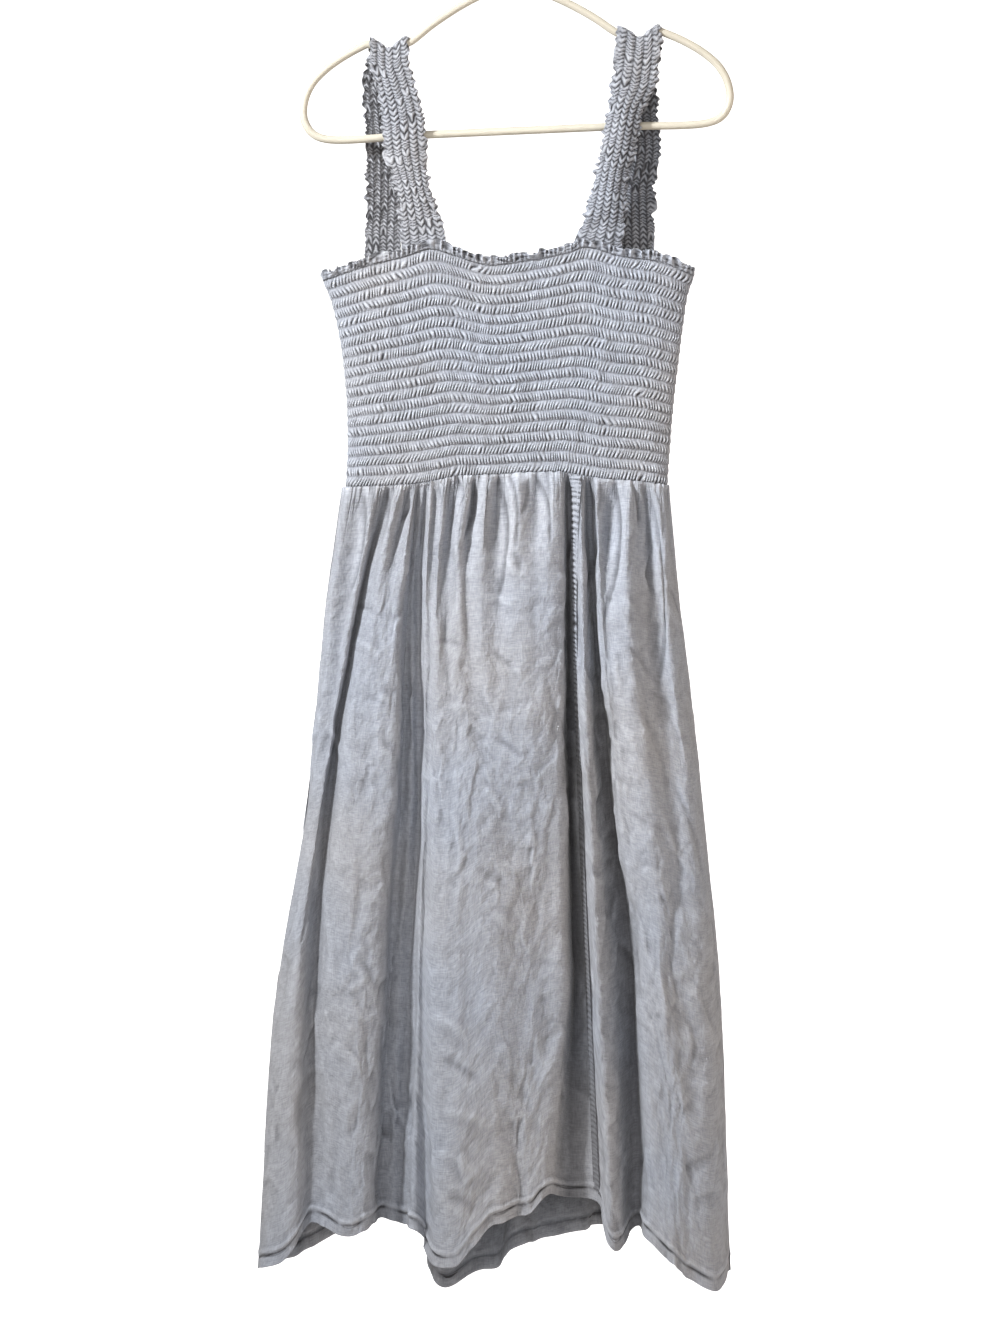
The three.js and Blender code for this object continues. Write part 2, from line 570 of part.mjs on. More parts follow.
// The right half of the hanger's loop in its own frame, from the neck to the middle of the bar.
function armOutline() {
  const notch = steps(NOTCH_STEPS).map((share) => {
    const distance = THREE.MathUtils.lerp(-NOTCH_HALF_WIDTH, NOTCH_HALF_WIDTH, share);
    const rise = NOTCH_RISE * (0.5 - 0.5 * Math.cos((Math.PI * distance) / NOTCH_HALF_WIDTH));
    return [NOTCH_PLACE + distance, NOTCH_HEIGHT + rise];
  });
  return [...ARM_FROM_NECK, ...notch, ...ARM_TO_BAR];
}

function hangerLoop() {
  const right = armOutline();
  const left = right.slice(1, -1).reverse();
  const whole = [...right, ...left.map(([x, z]) => [-x, z])];
  return tube(whole.map(([x, z]) => onHanger(x, z)), true);
}

// The hook, from its tip over the top and down into the neck.
function hangerHook() {
  const radius = HOOK_INNER_RADIUS + HANGER_TUBE_RADIUS;
  const arc = steps(HOOK_STEPS).map((share) => {
    const angle = THREE.MathUtils.lerp(HOOK_TIP_ANGLE, HOOK_FOOT_ANGLE, share);
    return [radius * Math.cos(angle), radius * Math.sin(angle) - HOOK_INNER_RADIUS];
  });
  return tube([...arc, ...HOOK_STEM].map(([x, z]) => onHanger(x, z)), false);
}

const wasm = await Module();
wasm.setup();

function solid(geometry) {
  const welded = mergeVertices(geometry);
  const mesh = new wasm.Mesh({
    numProp: 3,
    vertProperties: welded.attributes.position.array,
    triVerts: new Uint32Array(welded.index.array),
  });
  return new wasm.Manifold(mesh);
}

function hanger() {
  const joined = solid(hangerLoop()).add(solid(hangerHook())).getMesh();
  const geometry = new THREE.BufferGeometry();
  geometry.setAttribute("position", new THREE.BufferAttribute(joined.vertProperties, 3));
  geometry.setIndex(new THREE.BufferAttribute(joined.triVerts, 1));
  geometry.computeVertexNormals();
  const material = new THREE.MeshStandardMaterial({ color: HANGER_COLOUR, roughness: 0.45, metalness: 0 });
  const mesh = new THREE.Mesh(geometry, material);
  mesh.name = "hanger";
  return mesh;
}

const group = new THREE.Group();
group.add(bodice("bodice_front", -1));
group.add(bodice("bodice_back", 1));
group.add(heading("heading_front", -1));
group.add(heading("heading_back", 1));
group.add(strap(STRAP_LEFT));
group.add(strap(STRAP_RIGHT));
group.add(skirtPanel("skirt_front_left", 0, PANEL_SEAM));
group.add(skirtPanel("skirt_front_right", PANEL_SEAM, SKIRT_FRONT.length - 1));
group.add(skirtPanel("skirt_back", SKIRT_FRONT.length - 1, SKIRT_STATIONS.length));
group.add(hanger());

export default group;
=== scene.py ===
"""A smocked dress on a tubular hanger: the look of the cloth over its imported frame."""

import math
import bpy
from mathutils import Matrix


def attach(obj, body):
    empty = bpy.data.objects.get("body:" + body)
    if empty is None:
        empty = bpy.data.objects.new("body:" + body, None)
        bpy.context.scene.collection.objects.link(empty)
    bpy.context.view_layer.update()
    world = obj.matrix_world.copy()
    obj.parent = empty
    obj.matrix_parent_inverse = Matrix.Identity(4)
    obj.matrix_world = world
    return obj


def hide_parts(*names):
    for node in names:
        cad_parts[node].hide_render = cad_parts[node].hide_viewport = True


bl_info = {
    "name": "Smocked dress on a hanger",
    "version": (1, 0, 0),
    "blender": (4, 5, 0),
    "location": "3D View > Sidebar > Dress",
    "description": "Builds the smocked bodice, straps, gathered skirt and hanger",
    "category": "Object",
}

from types import SimpleNamespace

import bmesh
import bpy
import numpy as np
from mathutils import Vector

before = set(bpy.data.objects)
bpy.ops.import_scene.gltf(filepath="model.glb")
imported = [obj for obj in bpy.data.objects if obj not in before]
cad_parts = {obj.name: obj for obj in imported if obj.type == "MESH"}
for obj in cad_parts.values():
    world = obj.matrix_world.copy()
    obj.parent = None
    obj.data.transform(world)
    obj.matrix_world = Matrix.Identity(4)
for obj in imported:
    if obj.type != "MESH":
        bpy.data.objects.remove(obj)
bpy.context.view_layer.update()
BODY = "root"
MM = 0.001

# Sizes in millimetres, the same as the solids have.
HANGER_TILT = math.radians(2.5)
TUBE_RADIUS = 4.0
HOOK_INNER_RADIUS = 22.0
HOOK_TIP_ANGLE = math.radians(200)
HOOK_FOOT_ANGLE = math.radians(-62)
NOTCH_PLACE = 125.5
NOTCH_HALF_WIDTH = 21.0
NOTCH_HEIGHT = -143.0
NOTCH_RISE = 11.0
HOOK_STEM = [(4, -51), (0, -58), (0, -68), (0, -80)]
ARM_FROM_NECK = [(0, -79), (26, -86), (54, -99), (82, -116), (98, -128)]
ARM_TO_BAR = [
    (154, -135), (172, -144), (190, -156), (204, -170), (212, -187),
    (213, -204), (206, -218), (192, -225), (100, -225), (0, -225),
]

SEAM_GAP = 0.3
CLOTH_WALL = 1.6
SIDE_ROUNDNESS = 6
BODICE_DEPTH_TOP = 14.0
BODICE_DEPTH_WAIST = 16.0
BODICE_INNER_LAYER = 1.4
BODICE_MIDDLE_HALF_WIDTH = 165
BODICE_ROWS = 21
HEADING_HEIGHT = 9.0
STRAP_SEAT_GAP = 0.5
STRAP_NOTCH_FADE = 55.0
STRAP_SEAT = (300.0, 328.0)
STRAP_CORDS = 5
SKIRT_LEDGE = 1.0
SKIRT_LENGTH = 760.0
HEM_BAND = 12.0
HEM_TURN_HEIGHTS = (0.0, 3.0, 7.0, 12.0)

# How finely the pieces are drawn, in faces across and down.
BODICE_GRID = (620, 7 * BODICE_ROWS)
HEADING_GRID = (560, 10)
STRAP_GRID = (48, 340)
SEAM_STRIP_GRID = (10, 420)
TUBE_SIDES = 24
LATTICE_SIZE = 128
BODICE_FINE_STEPS = 2001
STRAP_FINE_STEPS = 801
PANEL_FINE_STEPS = 1201
SEAM_FINE_STEPS = 81

# The cut of the cloth that the pieces show, flat, in metres.
STRAP_FLAT = (0.045, 0.62)

# The bodice's side edges from the first elastic row (level 0) to the waist seam (level 1).
SIDES_COLUMNS = ("level", "left", "right")
BODICE_SIDES = [
    (0, -185, 186),
    (0.1, -176.5, 179),
    (0.23, -170, 175),
    (0.4, -164.5, 170.5),
    (0.6, -161, 165.5),
    (0.8, -160, 162),
    (1, -162, 159),
]

# Heights of the first elastic row and of the waist seam, from the left side (-1) to the right side (1).
LINES_COLUMNS = ("place", "top", "waist")
BODICE_LINES = [
    (-1, -375, -581),
    (-0.77, -361, -580),
    (-0.57, -352, -578),
    (-0.42, -344, -574),
    (-0.3, -350, -570),
    (-0.1, -360, -569),
    (0.08, -356, -567),
    (0.33, -347, -566),
    (0.41, -342, -568),
    (0.6, -351, -573),
    (0.8, -356, -575),
    (1, -370, -579),
]

# Each strap's middle line from the back seam over the hanger's arm to the front seam.
STRAP_COLUMNS = ("centre", "height", "depth", "width", "crest")
# A strap's turned value is the painted shade on the right-hand half of its front, where it turns over along
# its length.
STRAPS = {
    "strap_left": {
        "notch": -1,
        "turned": 0.0,
        "back": [
            (-125.5, -353, 11.4, 36, 0),
            (-125, -326, 11.4, 36, 0),
            (-124, -285, 11.5, 35, 2),
            (-124.5, -231, 10, 36, 2),
            (-128, -190, 8, 37, 1),
            (-123, -164, 6.2, 38, 0),
        ],
        "front": [
            (-119, -160, -6.4, 40, 0),
            (-112.5, -184, -8, 39, 1),
            (-104.5, -216, -9.5, 42, 3),
            (-102, -247, -10, 41, 3),
            (-94.5, -282, -10.5, 32, 4),
            (-89.5, -304, -11, 38, 2),
            (-85, -330, -11.3, 44, 0),
            (-82, -353, -11.4, 49, 0),
        ],
    },
    "strap_right": {
        "notch": 1,
        "turned": 0.4,
        "back": [
            (128.5, -350, 11.4, 38, 0),
            (128, -326, 11.4, 38, 0),
            (127.5, -285, 11.5, 37, 2),
            (134, -243, 10.5, 38, 2),
            (131, -201, 9, 38, 1),
            (131, -157, 6.2, 40, 0),
        ],
        "front": [
            (130.5, -151, -6.4, 45, 0),
            (126.5, -180, -8, 45, 3),
            (117, -207, -9.5, 34, 5),
            (109.5, -244, -10.5, 35, 6),
            (104, -266, -11, 33, 6),
            (96, -316, -11.2, 42, 3),
            (92, -330, -11.3, 47, 0),
            (88, -352, -11.4, 52, 0),
        ],
    },
}

# The skirt's fold lines: the fold's name, its places across at the SKIRT_X_LEVELS, its distances out from the
# middle plane at the SKIRT_DEPTH_LEVELS after the waist, and the height of the hem there.
SKIRT_X_LEVELS = [0, 0.15, 0.42, 0.68, 1]
SKIRT_DEPTH_LEVELS = [0, 0.022, 0.15, 0.42, 0.68, 1]
SKIRT_FRONT = [
    ("side_left", (-166, -182, -202, -235, -250), (0, 0, 0, 0, 0), -1362),
    ("side_ridge_left", (-160, -176, -197, -227, -240), (13, 16, 20, 22, 24), -1358),
    ("pinch_1", (-144, -161, -189, -214, -225), (13, 15, 26, 32, 32), -1351),
    ("ridge_1", (-132, -154, -185, -205, -213), (23, 25, 26, 29, 32), -1338),
    ("fold_2", (-118, -147, -178, -192, -197), (12, 11, 11, 14, 21), -1315),
    ("ridge_2", (-107, -135, -166, -174, -178), (25, 30, 36, 40, 38), -1319),
    ("pinch_3", (-98, -121, -146, -153, -158), (14, 29, 44, 48, 44), -1328),
    ("lip_4", (-92, -107, -116, -130, -140), (23, 31, 40, 44, 40), -1320),
    ("recess_4a", (-88, -100, -106, -118, -127), (12, 11, 11, 11, 12), -1310),
    ("recess_rib", (-84, -95, -97, -109, -116), (16, 15, 18, 15, 15), -1312),
    ("recess_4b", (-81, -89, -89, -98, -108), (13, 11, 11, 11, 12), -1314),
    ("lip_5", (-76, -82, -84, -90, -95), (23, 33, 43, 45, 36), -1318),
    ("pinch_5", (-72, -77, -79, -84, -82), (19, 32, 44, 44, 26), -1334),
    ("ridge_5", (-64, -71, -72, -74, -72), (25, 37, 52, 56, 48), -1356),
    ("pinch_6", (-51, -62, -56, -54, -53), (14, 31, 58, 62, 58), -1356),
    ("ridge_6", (-41, -53, -40, -36, -34), (26, 37, 59, 63, 61), -1334),
    ("pinch_7", (-32, -42, -26, -18, -16), (14, 31, 59, 63, 56), -1315),
    ("ridge_7", (-20, -26, -14, -6, -4), (27, 39, 59, 61, 50), -1312),
    ("pinch_8", (-8, -11, -2, 5, 7), (15, 33, 57, 57, 45), -1309),
    ("ridge_8", (10, 6, 11, 14, 14), (27, 41, 55, 53, 43), -1306),
    ("pinch_9", (30, 26, 26, 24, 23), (16, 39, 53, 51, 45), -1302),
    ("ridge_9", (43, 41, 40, 37, 32), (28, 39, 49, 48, 46), -1292),
    ("lip_10", (54, 54, 52, 56, 40), (24, 32, 42, 42, 40), -1286),
    ("slit_10", (59, 60, 61, 67, 64), (11, 10, 10, 10, 12), -1292),
    ("panel_seam", (68, 67, 72, 80, 90), (22, 23, 25, 28, 20), -1294),
    ("ridge_11", (73, 74, 82, 92, 105), (27, 34, 38, 44, 42), -1340),
    ("fold_12", (80, 85, 101, 124, 129), (12, 11, 11, 11, 12), -1320),
    ("lip_13", (86, 91, 108, 133, 140), (24, 33, 39, 44, 42), -1328),
    ("pinch_13", (106, 98, 120, 146, 154), (14, 31, 44, 50, 48), -1343),
    ("ridge_13", (120, 118, 138, 156, 164), (26, 41, 50, 52, 50), -1353),
    ("pinch_14", (137, 142, 165, 172, 180), (14, 21, 34, 46, 44), -1368),
    ("side_ridge_right", (150, 157, 183, 196, 206), (20, 26, 30, 36, 36), -1381),
    ("side_right", (161, 172, 196, 214, 222), (0, 0, 0, 0, 0), -1362),
]
SKIRT_BACK = [
    ("back_ridge_1", (-156, -170, -188, -208, -224), (14, 20, 26, 28, 26), -1356),
    ("back_fold_2", (-142, -156, -170, -186, -202), (12, 12, 15, 17, 20), -1346),
    ("back_ridge_2", (-128, -138, -148, -158, -168), (24, 32, 44, 48, 44), -1328),
    ("back_fold_3", (-112, -120, -126, -132, -136), (12, 14, 18, 20, 24), -1306),
    ("back_ridge_3", (-98, -104, -106, -108, -108), (24, 32, 40, 42, 38), -1304),
    ("back_fold_4", (-84, -88, -88, -88, -85), (12, 12, 12, 13, 16), -1318),
    ("back_lip_4", (-75, -78, -77, -76, -76), (24, 32, 38, 40, 36), -1372),
    ("back_ridge_4", (-64, -64, -62, -60, -62), (25, 40, 54, 58, 52), -1388),
    ("back_pinch_4", (-48, -46, -38, -34, -36), (14, 38, 56, 60, 54), -1372),
    ("back_ridge_5", (-34, -28, -18, -12, -10), (26, 38, 52, 54, 46), -1366),
    ("back_fold_6", (-18, -12, -2, 6, 8), (12, 16, 20, 20, 22), -1343),
    ("back_ridge_6", (-2, 4, 16, 26, 32), (25, 36, 48, 52, 46), -1337),
    ("back_pinch_6", (16, 22, 36, 48, 56), (14, 34, 50, 54, 46), -1332),
    ("back_ridge_7", (34, 40, 54, 66, 74), (25, 32, 42, 44, 40), -1328),
    ("back_fold_8", (48, 54, 68, 80, 90), (12, 12, 12, 14, 16), -1321),
    ("back_ridge_8", (64, 70, 86, 100, 110), (25, 36, 46, 50, 46), -1328),
    ("back_fold_9", (80, 86, 104, 120, 132), (12, 14, 16, 18, 20), -1314),
    ("back_ridge_9", (98, 106, 126, 144, 154), (25, 36, 48, 52, 48), -1332),
    ("back_pinch_9", (116, 126, 148, 166, 176), (14, 30, 44, 48, 44), -1350),
    ("back_ridge_10", (132, 142, 166, 186, 196), (24, 28, 34, 38, 36), -1368),
    ("back_side_ridge", (149, 159, 184, 202, 212), (13, 16, 18, 20, 20), -1372),
]
PANEL_SEAM = [row[0] for row in SKIRT_FRONT].index("panel_seam")

# Painted shade in the deep folds: the fold's name, how dark it is painted at the SKIRT_X_LEVELS (below 0
# painted lighter), and its reach aside in fold lines.
FOLD_SHADES = [
    ("pinch_1", (0.28, 0.2, 0.05, 0, 0), 0.22),
    ("fold_2", (0.4, 0.6, 0.5, 0.35, 0.2), 0.42),
    ("pinch_3", (0.33, 0.15, 0.05, 0, 0), 0.22),
    ("recess_4a", (0.2, -0.1, -0.3, 0, 0.4), 0.6),
    ("recess_4b", (0.3, -0.1, -0.3, 0, 0.3), 0.6),
    ("pinch_5", (0.3, 0.1, 0, 0, 0.1), 0.25),
    ("pinch_6", (0.38, 0.25, 0.05, 0, 0.1), 0.2),
    ("pinch_7", (0.33, 0.2, 0.05, 0, 0), 0.2),
    ("pinch_8", (0.38, 0.25, 0, 0, 0), 0.2),
    ("pinch_9", (0.33, 0.15, 0, 0, 0), 0.2),
    ("slit_10", (0.45, 0.95, 1, 0.9, 0.5), 0.62),
    ("fold_12", (0.3, 0.5, 0.8, 0.8, 0.55), 0.55),
    ("pinch_13", (0.33, 0.2, 0.05, 0, 0), 0.2),
    ("pinch_14", (0.38, 0.35, 0.1, 0.05, 0), 0.25),
]

# Creases pressed into the skirt: from x and z, to x and z, half the width, and the height out of the cloth.
FRONT_CREASES = [
    (-144, -583, -159, -692, 2.4, -2.6),
    (-120, -583, -128, -640, 2.6, -2.4),
    (-94.5, -580, -106, -616, 2.4, -3),
    (-50, -571, -49.5, -632, 2.2, -3.4),
    (-57, -640, -66, -740, 4, -2.4),
    (-33, -574, -46, -640, 2.4, -2.8),
    (-21, -576, -24, -618, 2, -1.6),
    (-8.6, -572, -10, -695, 2.2, -2.8),
    (3.5, -572, 6, -646, 2.2, -2.6),
    (-2, -572, 4, -604, 2, 1.4),
    (20, -572, 12, -615, 2.2, -1.8),
    (27.7, -568, 42, -642, 2.2, -2.8),
    (42, -570, 44, -600, 2.4, 1.5),
    (79, -572, 79, -690, 2.4, -2.2),
    (92, -572, 90, -610, 2, -1.8),
    (106.5, -574, 96, -712, 2.4, -3),
    (124.6, -577, 131, -622, 2, -2.4),
    (137, -578, 151, -775, 2.4, -2.8),
    (130, -578, 134, -640, 2, 1.6),
    (147, -580, 154, -640, 2, -1.4),
    (-134, -583, -140, -630, 2.2, -1.6),
    (-107, -582, -112, -625, 2.2, 1.6),
    (-70, -575, -74, -650, 2, -1.8),
    (-40, -573, -44, -610, 2, 1.6),
    (60, -572, 58, -660, 2.6, -2),
    (-170, -770, -186, -850, 3.2, -1.5),
    (-180, -820, -165, -855, 3, 1.4),
    (-150, -700, -122, -712, 3, -1.2),
    (-150, -735, -128, -752, 3.4, 1.3),
    (-142, -790, -120, -800, 3, -1.2),
    (-20, -690, 8, -700, 3.4, 1.3),
    (-16, -745, 10, -772, 3, -1.5),
    (-6, -760, 22, -775, 3, 1.3),
    (-72, -735, -40, -742, 3, -1.2),
    (-60, -800, -30, -806, 3, 1.1),
    (-14, -830, 14, -852, 3.4, -1.4),
    (112, -690, 128, -712, 3, 1.2),
    (120, -740, 146, -775, 3, -1.3),
    (106, -810, 124, -842, 3.4, 1.3),
    (148, -900, 166, -960, 3, 1.4),
    (120, -905, 138, -918, 3, -1.2),
    (-54, -902, -52, -1009, 3.5, 1.6),
    (-23, -880, -6, -905, 4, 1.6),
    (-30, -960, 4, -985, 5, -1.4),
    (-20, -1000, 20, -1050, 5, 1.4),
    (163, -877, 196, -980, 3, -1.8),
    (-145, -1052, -128, -1090, 4, -2),
    (-138, -1067, -160, -1082, 4, 1.6),
    (-72, -1105, -40, -1130, 5, 1.8),
    (-66, -1150, -28, -1172, 5, -1.8),
    (-60, -1200, -20, -1215, 5, 1.6),
    (-70, -1240, -34, -1262, 6, 2),
    (-60, -1285, -30, -1300, 6, -1.8),
    (140, -1046, 158, -1122, 5, 2.2),
    (158, -1150, 176, -1235, 6, 1.8),
    (150, -1180, 180, -1290, 5, -1.4),
    (120, -760, 136, -850, 5, 1.4),
    (132, -800, 160, -900, 4, -1.4),
    (-130, -800, -142, -900, 5, 1.4),
    (-190, -1100, -200, -1240, 6, 1.8),
    (-170, -1180, -185, -1290, 6, -1.8),
    (5, -647, 12, -668, 4, -2.2),
    (-10, -720, -16, -830, 5, 1.3),
    (22, -700, 26, -790, 5, -1.3),
    (-50, -700, -58, -790, 4, 1.2),
    (10, -1100, 40, -1180, 7, 1.8),
    (-10, -1150, 30, -1230, 6, -1.8),
    (-215, -1000, -222, -1120, 6, 1.6),
    (-150, -940, -156, -1030, 5, -1.4),
]
BACK_CREASES = [
    (-150, -700, -156, -820, 5, 1.5),
    (-140, -900, -128, -985, 5, -1.6),
    (-160, -1050, -190, -1150, 6, 1.8),
    (-110, -1120, -96, -1230, 6, -1.7),
    (-60, -760, -52, -880, 5, 1.5),
    (-52, -940, -20, -980, 5, -1.8),
    (-50, -1060, -10, -1100, 5, 1.8),
    (-44, -1180, -16, -1270, 6, -1.6),
    (20, -720, 26, -840, 5, 1.5),
    (26, -900, 60, -950, 5, -1.5),
    (30, -1040, 62, -1090, 6, 1.8),
    (60, -1150, 44, -1260, 6, -1.6),
    (100, -780, 108, -880, 5, 1.4),
    (120, -960, 148, -1010, 5, 1.7),
    (140, -1100, 160, -1200, 6, -1.7),
    (180, -1050, 190, -1180, 6, 1.6),
]


def between(levels, values, level):
    """A value between the entries of a short list, smooth and never past its neighbours."""
    last = len(levels) - 1

    def rate(k):
        return (values[k + 1] - values[k]) / (levels[k + 1] - levels[k])

    def slope(k):
        if k == 0:
            return rate(0)
        if k == last:
            return rate(last - 1)
        before = rate(k - 1)
        after = rate(k)
        return 2 * before * after / (before + after) if before * after > 0 else 0

    k = 0
    while k < last - 1 and level > levels[k + 1]:
        k += 1
    span = levels[k + 1] - levels[k]
    t = (level - levels[k]) / span
    t2 = t * t
    t3 = t2 * t
    return (
        (2 * t3 - 3 * t2 + 1) * values[k]
        + (t3 - 2 * t2 + t) * span * slope(k)
        + (3 * t2 - 2 * t3) * values[k + 1]
        + (t3 - t2) * span * slope(k + 1)
    )


def column(table, names, name):
    """One named column of a table."""
    place = names.index(name)
    return [row[place] for row in table]


def smoothstep(low, high, value):
    """An even ramp from 0 at low to 1 at high."""
    t = np.clip((value - low) / (high - low), 0, 1)
    return t * t * (3 - 2 * t)


def bell(value, middle, reach):
    """1 where a value is the middle one, falling softly away over reach to both sides."""
    return np.exp(-(((value - middle) / reach) ** 2))


def arches(phase):
    """A row of round arches from 0 to 1, one for each unit of phase."""
    return np.abs(np.sin(np.pi * phase))


def lattice(seed):
    """A square table of even random numbers from -1 to 1 for the noises below."""
    return np.random.default_rng(seed).uniform(-1, 1, (LATTICE_SIZE, LATTICE_SIZE))


def soft_noise(u, v, seed):
    """Smooth random hills from -1 to 1, one unit across."""
    table = lattice(seed)
    size = len(table)
    column_index = np.floor(u).astype(int)
    row_index = np.floor(v).astype(int)
    fu = u - column_index
    fv = v - row_index
    fu = fu * fu * (3 - 2 * fu)
    fv = fv * fv * (3 - 2 * fv)

    def corner(du, dv):
        return table[(row_index + dv) % size, (column_index + du) % size]

    near = corner(0, 0) * (1 - fu) + corner(1, 0) * fu
    far = corner(0, 1) * (1 - fu) + corner(1, 1) * fu
    return near * (1 - fv) + far * fv


def crumple(u, v, seed, sharpness=9.0):
    """Tilted flat patches that meet in creases, one unit across, as washed linen has them."""
    tables = [lattice(seed + k) for k in range(4)]
    size = len(tables[0])
    column_index = np.floor(u).astype(int)
    row_index = np.floor(v).astype(int)
    total = np.zeros_like(u)
    weights = np.zeros_like(u)
    for dv in (-1, 0, 1):
        for du in (-1, 0, 1):
            where = ((row_index + dv) % size, (column_index + du) % size)
            away_u = u - (column_index + du + 0.5 + 0.42 * tables[0][where])
            away_v = v - (row_index + dv + 0.5 + 0.42 * tables[1][where])
            weight = np.exp(-sharpness * (away_u**2 + away_v**2))
            total += weight * (tables[2][where] * away_u + tables[3][where] * away_v)
            weights += weight
    return total / weights


def outward(points):
    """The outward normals of a sheet whose points run across to the right and down."""
    fall = np.gradient(points, axis=0)
    along = np.gradient(points, axis=1)
    normal = np.cross(fall, along)
    return normal / np.maximum(np.linalg.norm(normal, axis=2, keepdims=True), 1e-9)


def travelled_along(line):
    """The distance along a drawn line at each of its points."""
    steps = np.linalg.norm(np.diff(line, axis=0), axis=1)
    return np.concatenate([[0], np.cumsum(steps)])


def even_stops(line, count):
    """Evenly spaced places on a finely drawn line, from 0 to 1, and the line's length."""
    travelled = travelled_along(line)
    places = np.linspace(0, 1, len(line))
    return np.interp(np.linspace(0, travelled[-1], count + 1), travelled, places), travelled[-1]


def soft_kernel(reach):
    """Weights that average a value with its neighbours, reach steps each way."""
    kernel = np.hanning(2 * reach + 3)[1:-1]
    return kernel / kernel.sum()


def lens_depth(place, depth):
    """How far the flattened tube of cloth stands out, at a place from -1 to 1 across it."""
    return depth * np.sqrt(np.maximum(0, 1 - np.abs(place) ** SIDE_ROUNDNESS))


def linked_object(name, bm):
    """A new object of the scene, with a mesh that is finished and let go."""
    mesh = bpy.data.meshes.new(name)
    bm.to_mesh(mesh)
    bm.free()
    piece = bpy.data.objects.new(name, mesh)
    bpy.context.scene.collection.objects.link(piece)
    return piece


def sheet_object(name, points, cloth_size, thickness=0.0, painted_shading=None, gathers=None, falls=None):
    """A piece of cloth whose points run across to the right and down, with its own map in metres."""
    rows, columns = points.shape[0] - 1, points.shape[1] - 1
    bm = bmesh.new()
    cloth_map = bm.loops.layers.uv.new("cloth")
    # This layer holds painted shade for each point, read by the linen's colour: above 0 it darkens where
    # shade falls, below 0 it is a painted highlight.
    painted_shade = bm.verts.layers.float.new("painted_shade")
    # This layer marks where the fine gather lines under the waist seam show, as bump and as painted shade.
    gather = bm.verts.layers.float.new("gather")
    bmesh.ops.create_grid(bm, x_segments=columns, y_segments=rows, size=0.5)
    places = {}
    for vert in bm.verts:
        across = vert.co.x + 0.5
        down = 0.5 - vert.co.y
        here = (round(down * rows), round(across * columns))
        fall = down * cloth_size[1] if falls is None else falls[here[0]] * MM
        places[vert.index] = (across * cloth_size[0], -fall)
        vert.co = Vector(points[here]) * MM
        if painted_shading is not None:
            vert[painted_shade] = painted_shading[here]
        if gathers is not None:
            vert[gather] = gathers[here]
    for face in bm.faces:
        face.smooth = True
        for loop in face.loops:
            loop[cloth_map].uv = places[loop.vert.index]
    piece = linked_object(name, bm)
    if thickness:
        wall = piece.modifiers.new("cloth thickness", "SOLIDIFY")
        wall.thickness = thickness * MM
        wall.offset = 0
    return piece


def bodice_points(side, columns, rows):
    """The plain surface of the bodice's front (-1) or back (1), and its width in millimetres."""
    level = column(BODICE_SIDES, SIDES_COLUMNS, "level")
    left = column(BODICE_SIDES, SIDES_COLUMNS, "left")
    right = column(BODICE_SIDES, SIDES_COLUMNS, "right")
    line_place = column(BODICE_LINES, LINES_COLUMNS, "place")
    fine = side * np.cos(np.pi * np.linspace(0, 1, BODICE_FINE_STEPS))
    cut = np.stack([fine * BODICE_MIDDLE_HALF_WIDTH, side * lens_depth(fine, BODICE_DEPTH_WAIST)], axis=1)
    stops, width = even_stops(cut, columns)
    places = side * np.cos(np.pi * stops)
    tops = np.array([between(line_place, column(BODICE_LINES, LINES_COLUMNS, "top"), p) for p in places])
    reach = round(columns * 0.06)
    padded_tops = np.pad(tops, reach, mode="reflect", reflect_type="odd")
    soft_tops = np.convolve(padded_tops, soft_kernel(reach), "valid")
    waists = [between(line_place, column(BODICE_LINES, LINES_COLUMNS, "waist"), p) for p in places]
    points = np.zeros((rows + 1, columns + 1, 3))
    for r in range(rows + 1):
        down = r / rows
        low = between(level, left, down)
        high = between(level, right, down)
        depth = BODICE_DEPTH_TOP + (BODICE_DEPTH_WAIST - BODICE_DEPTH_TOP) * down
        points[r, :, 0] = low + (high - low) * (places + 1) / 2
        points[r, :, 1] = side * (SEAM_GAP / 2 + lens_depth(places, depth))
        settled = smoothstep(0, 0.1, down)
        row_tops = tops * (1 - settled) + soft_tops * settled
        points[r, :, 2] = row_tops * (1 - down) + (np.array(waists) + SEAM_GAP / 2) * down
    return points, width


def shirring(across_mm, down, sizes, seed):
    """Heights, slips and painted shading of the shirred cloth: puffs between the rows, pleated into puckers.
    """
    rows_down = down * BODICE_ROWS
    row = np.minimum(np.floor(rows_down), BODICE_ROWS - 1)
    inside = rows_down - row
    puff = np.sin(np.pi * inside)
    lean = 1.0 * np.where(row % 2 == 0, 1, -1) + 0.5 * soft_noise(row * 1.7, across_mm / 60, seed + 3)
    wander = 1.3 * soft_noise(across_mm / 26, row * 0.73, seed)
    wander += 0.5 * soft_noise(across_mm / 8, row * 1.9, seed + 1)
    bend = 0.18 * soft_noise(across_mm / 5, inside * 2 + row * 7.3, seed + 5)
    phase = across_mm / sizes.pucker_pitch + wander + bend + lean * (inside - 0.5)
    pleat = arches(phase) ** 0.8
    strength = 0.85 + 0.35 * soft_noise(across_mm / 6, row * 2.3 + 5, seed + 2)
    cord_place = 0.68 + 0.05 * soft_noise(across_mm / 30, row * 3.1, seed + 6)
    cord = bell(inside, cord_place, 0.31)
    gathered = 0.2 + 0.8 * cord
    height = sizes.puff_height * (0.45 * puff**0.7 + 0.75 * cord)
    height += sizes.pucker_height * strength * gathered * (pleat - 0.75)
    slip = 0.9 * soft_noise(across_mm / 11, row * 1.3, seed + 4) * puff
    # Painted shade between the puckers and along the elastic lines, painted highlight on the pucker tops in
    # the cord.
    gap_shade = (1 - pleat) ** 1.1 * (0.15 + 2.2 * cord) * strength
    under = 0.55 * bell(inside, 0.98, 0.07) + 0.3 * bell(inside, 0, 0.06)
    painted_shading = np.clip(gap_shade + under - 1.4 * cord * pleat**3, -1, 1)
    return height, slip, painted_shading


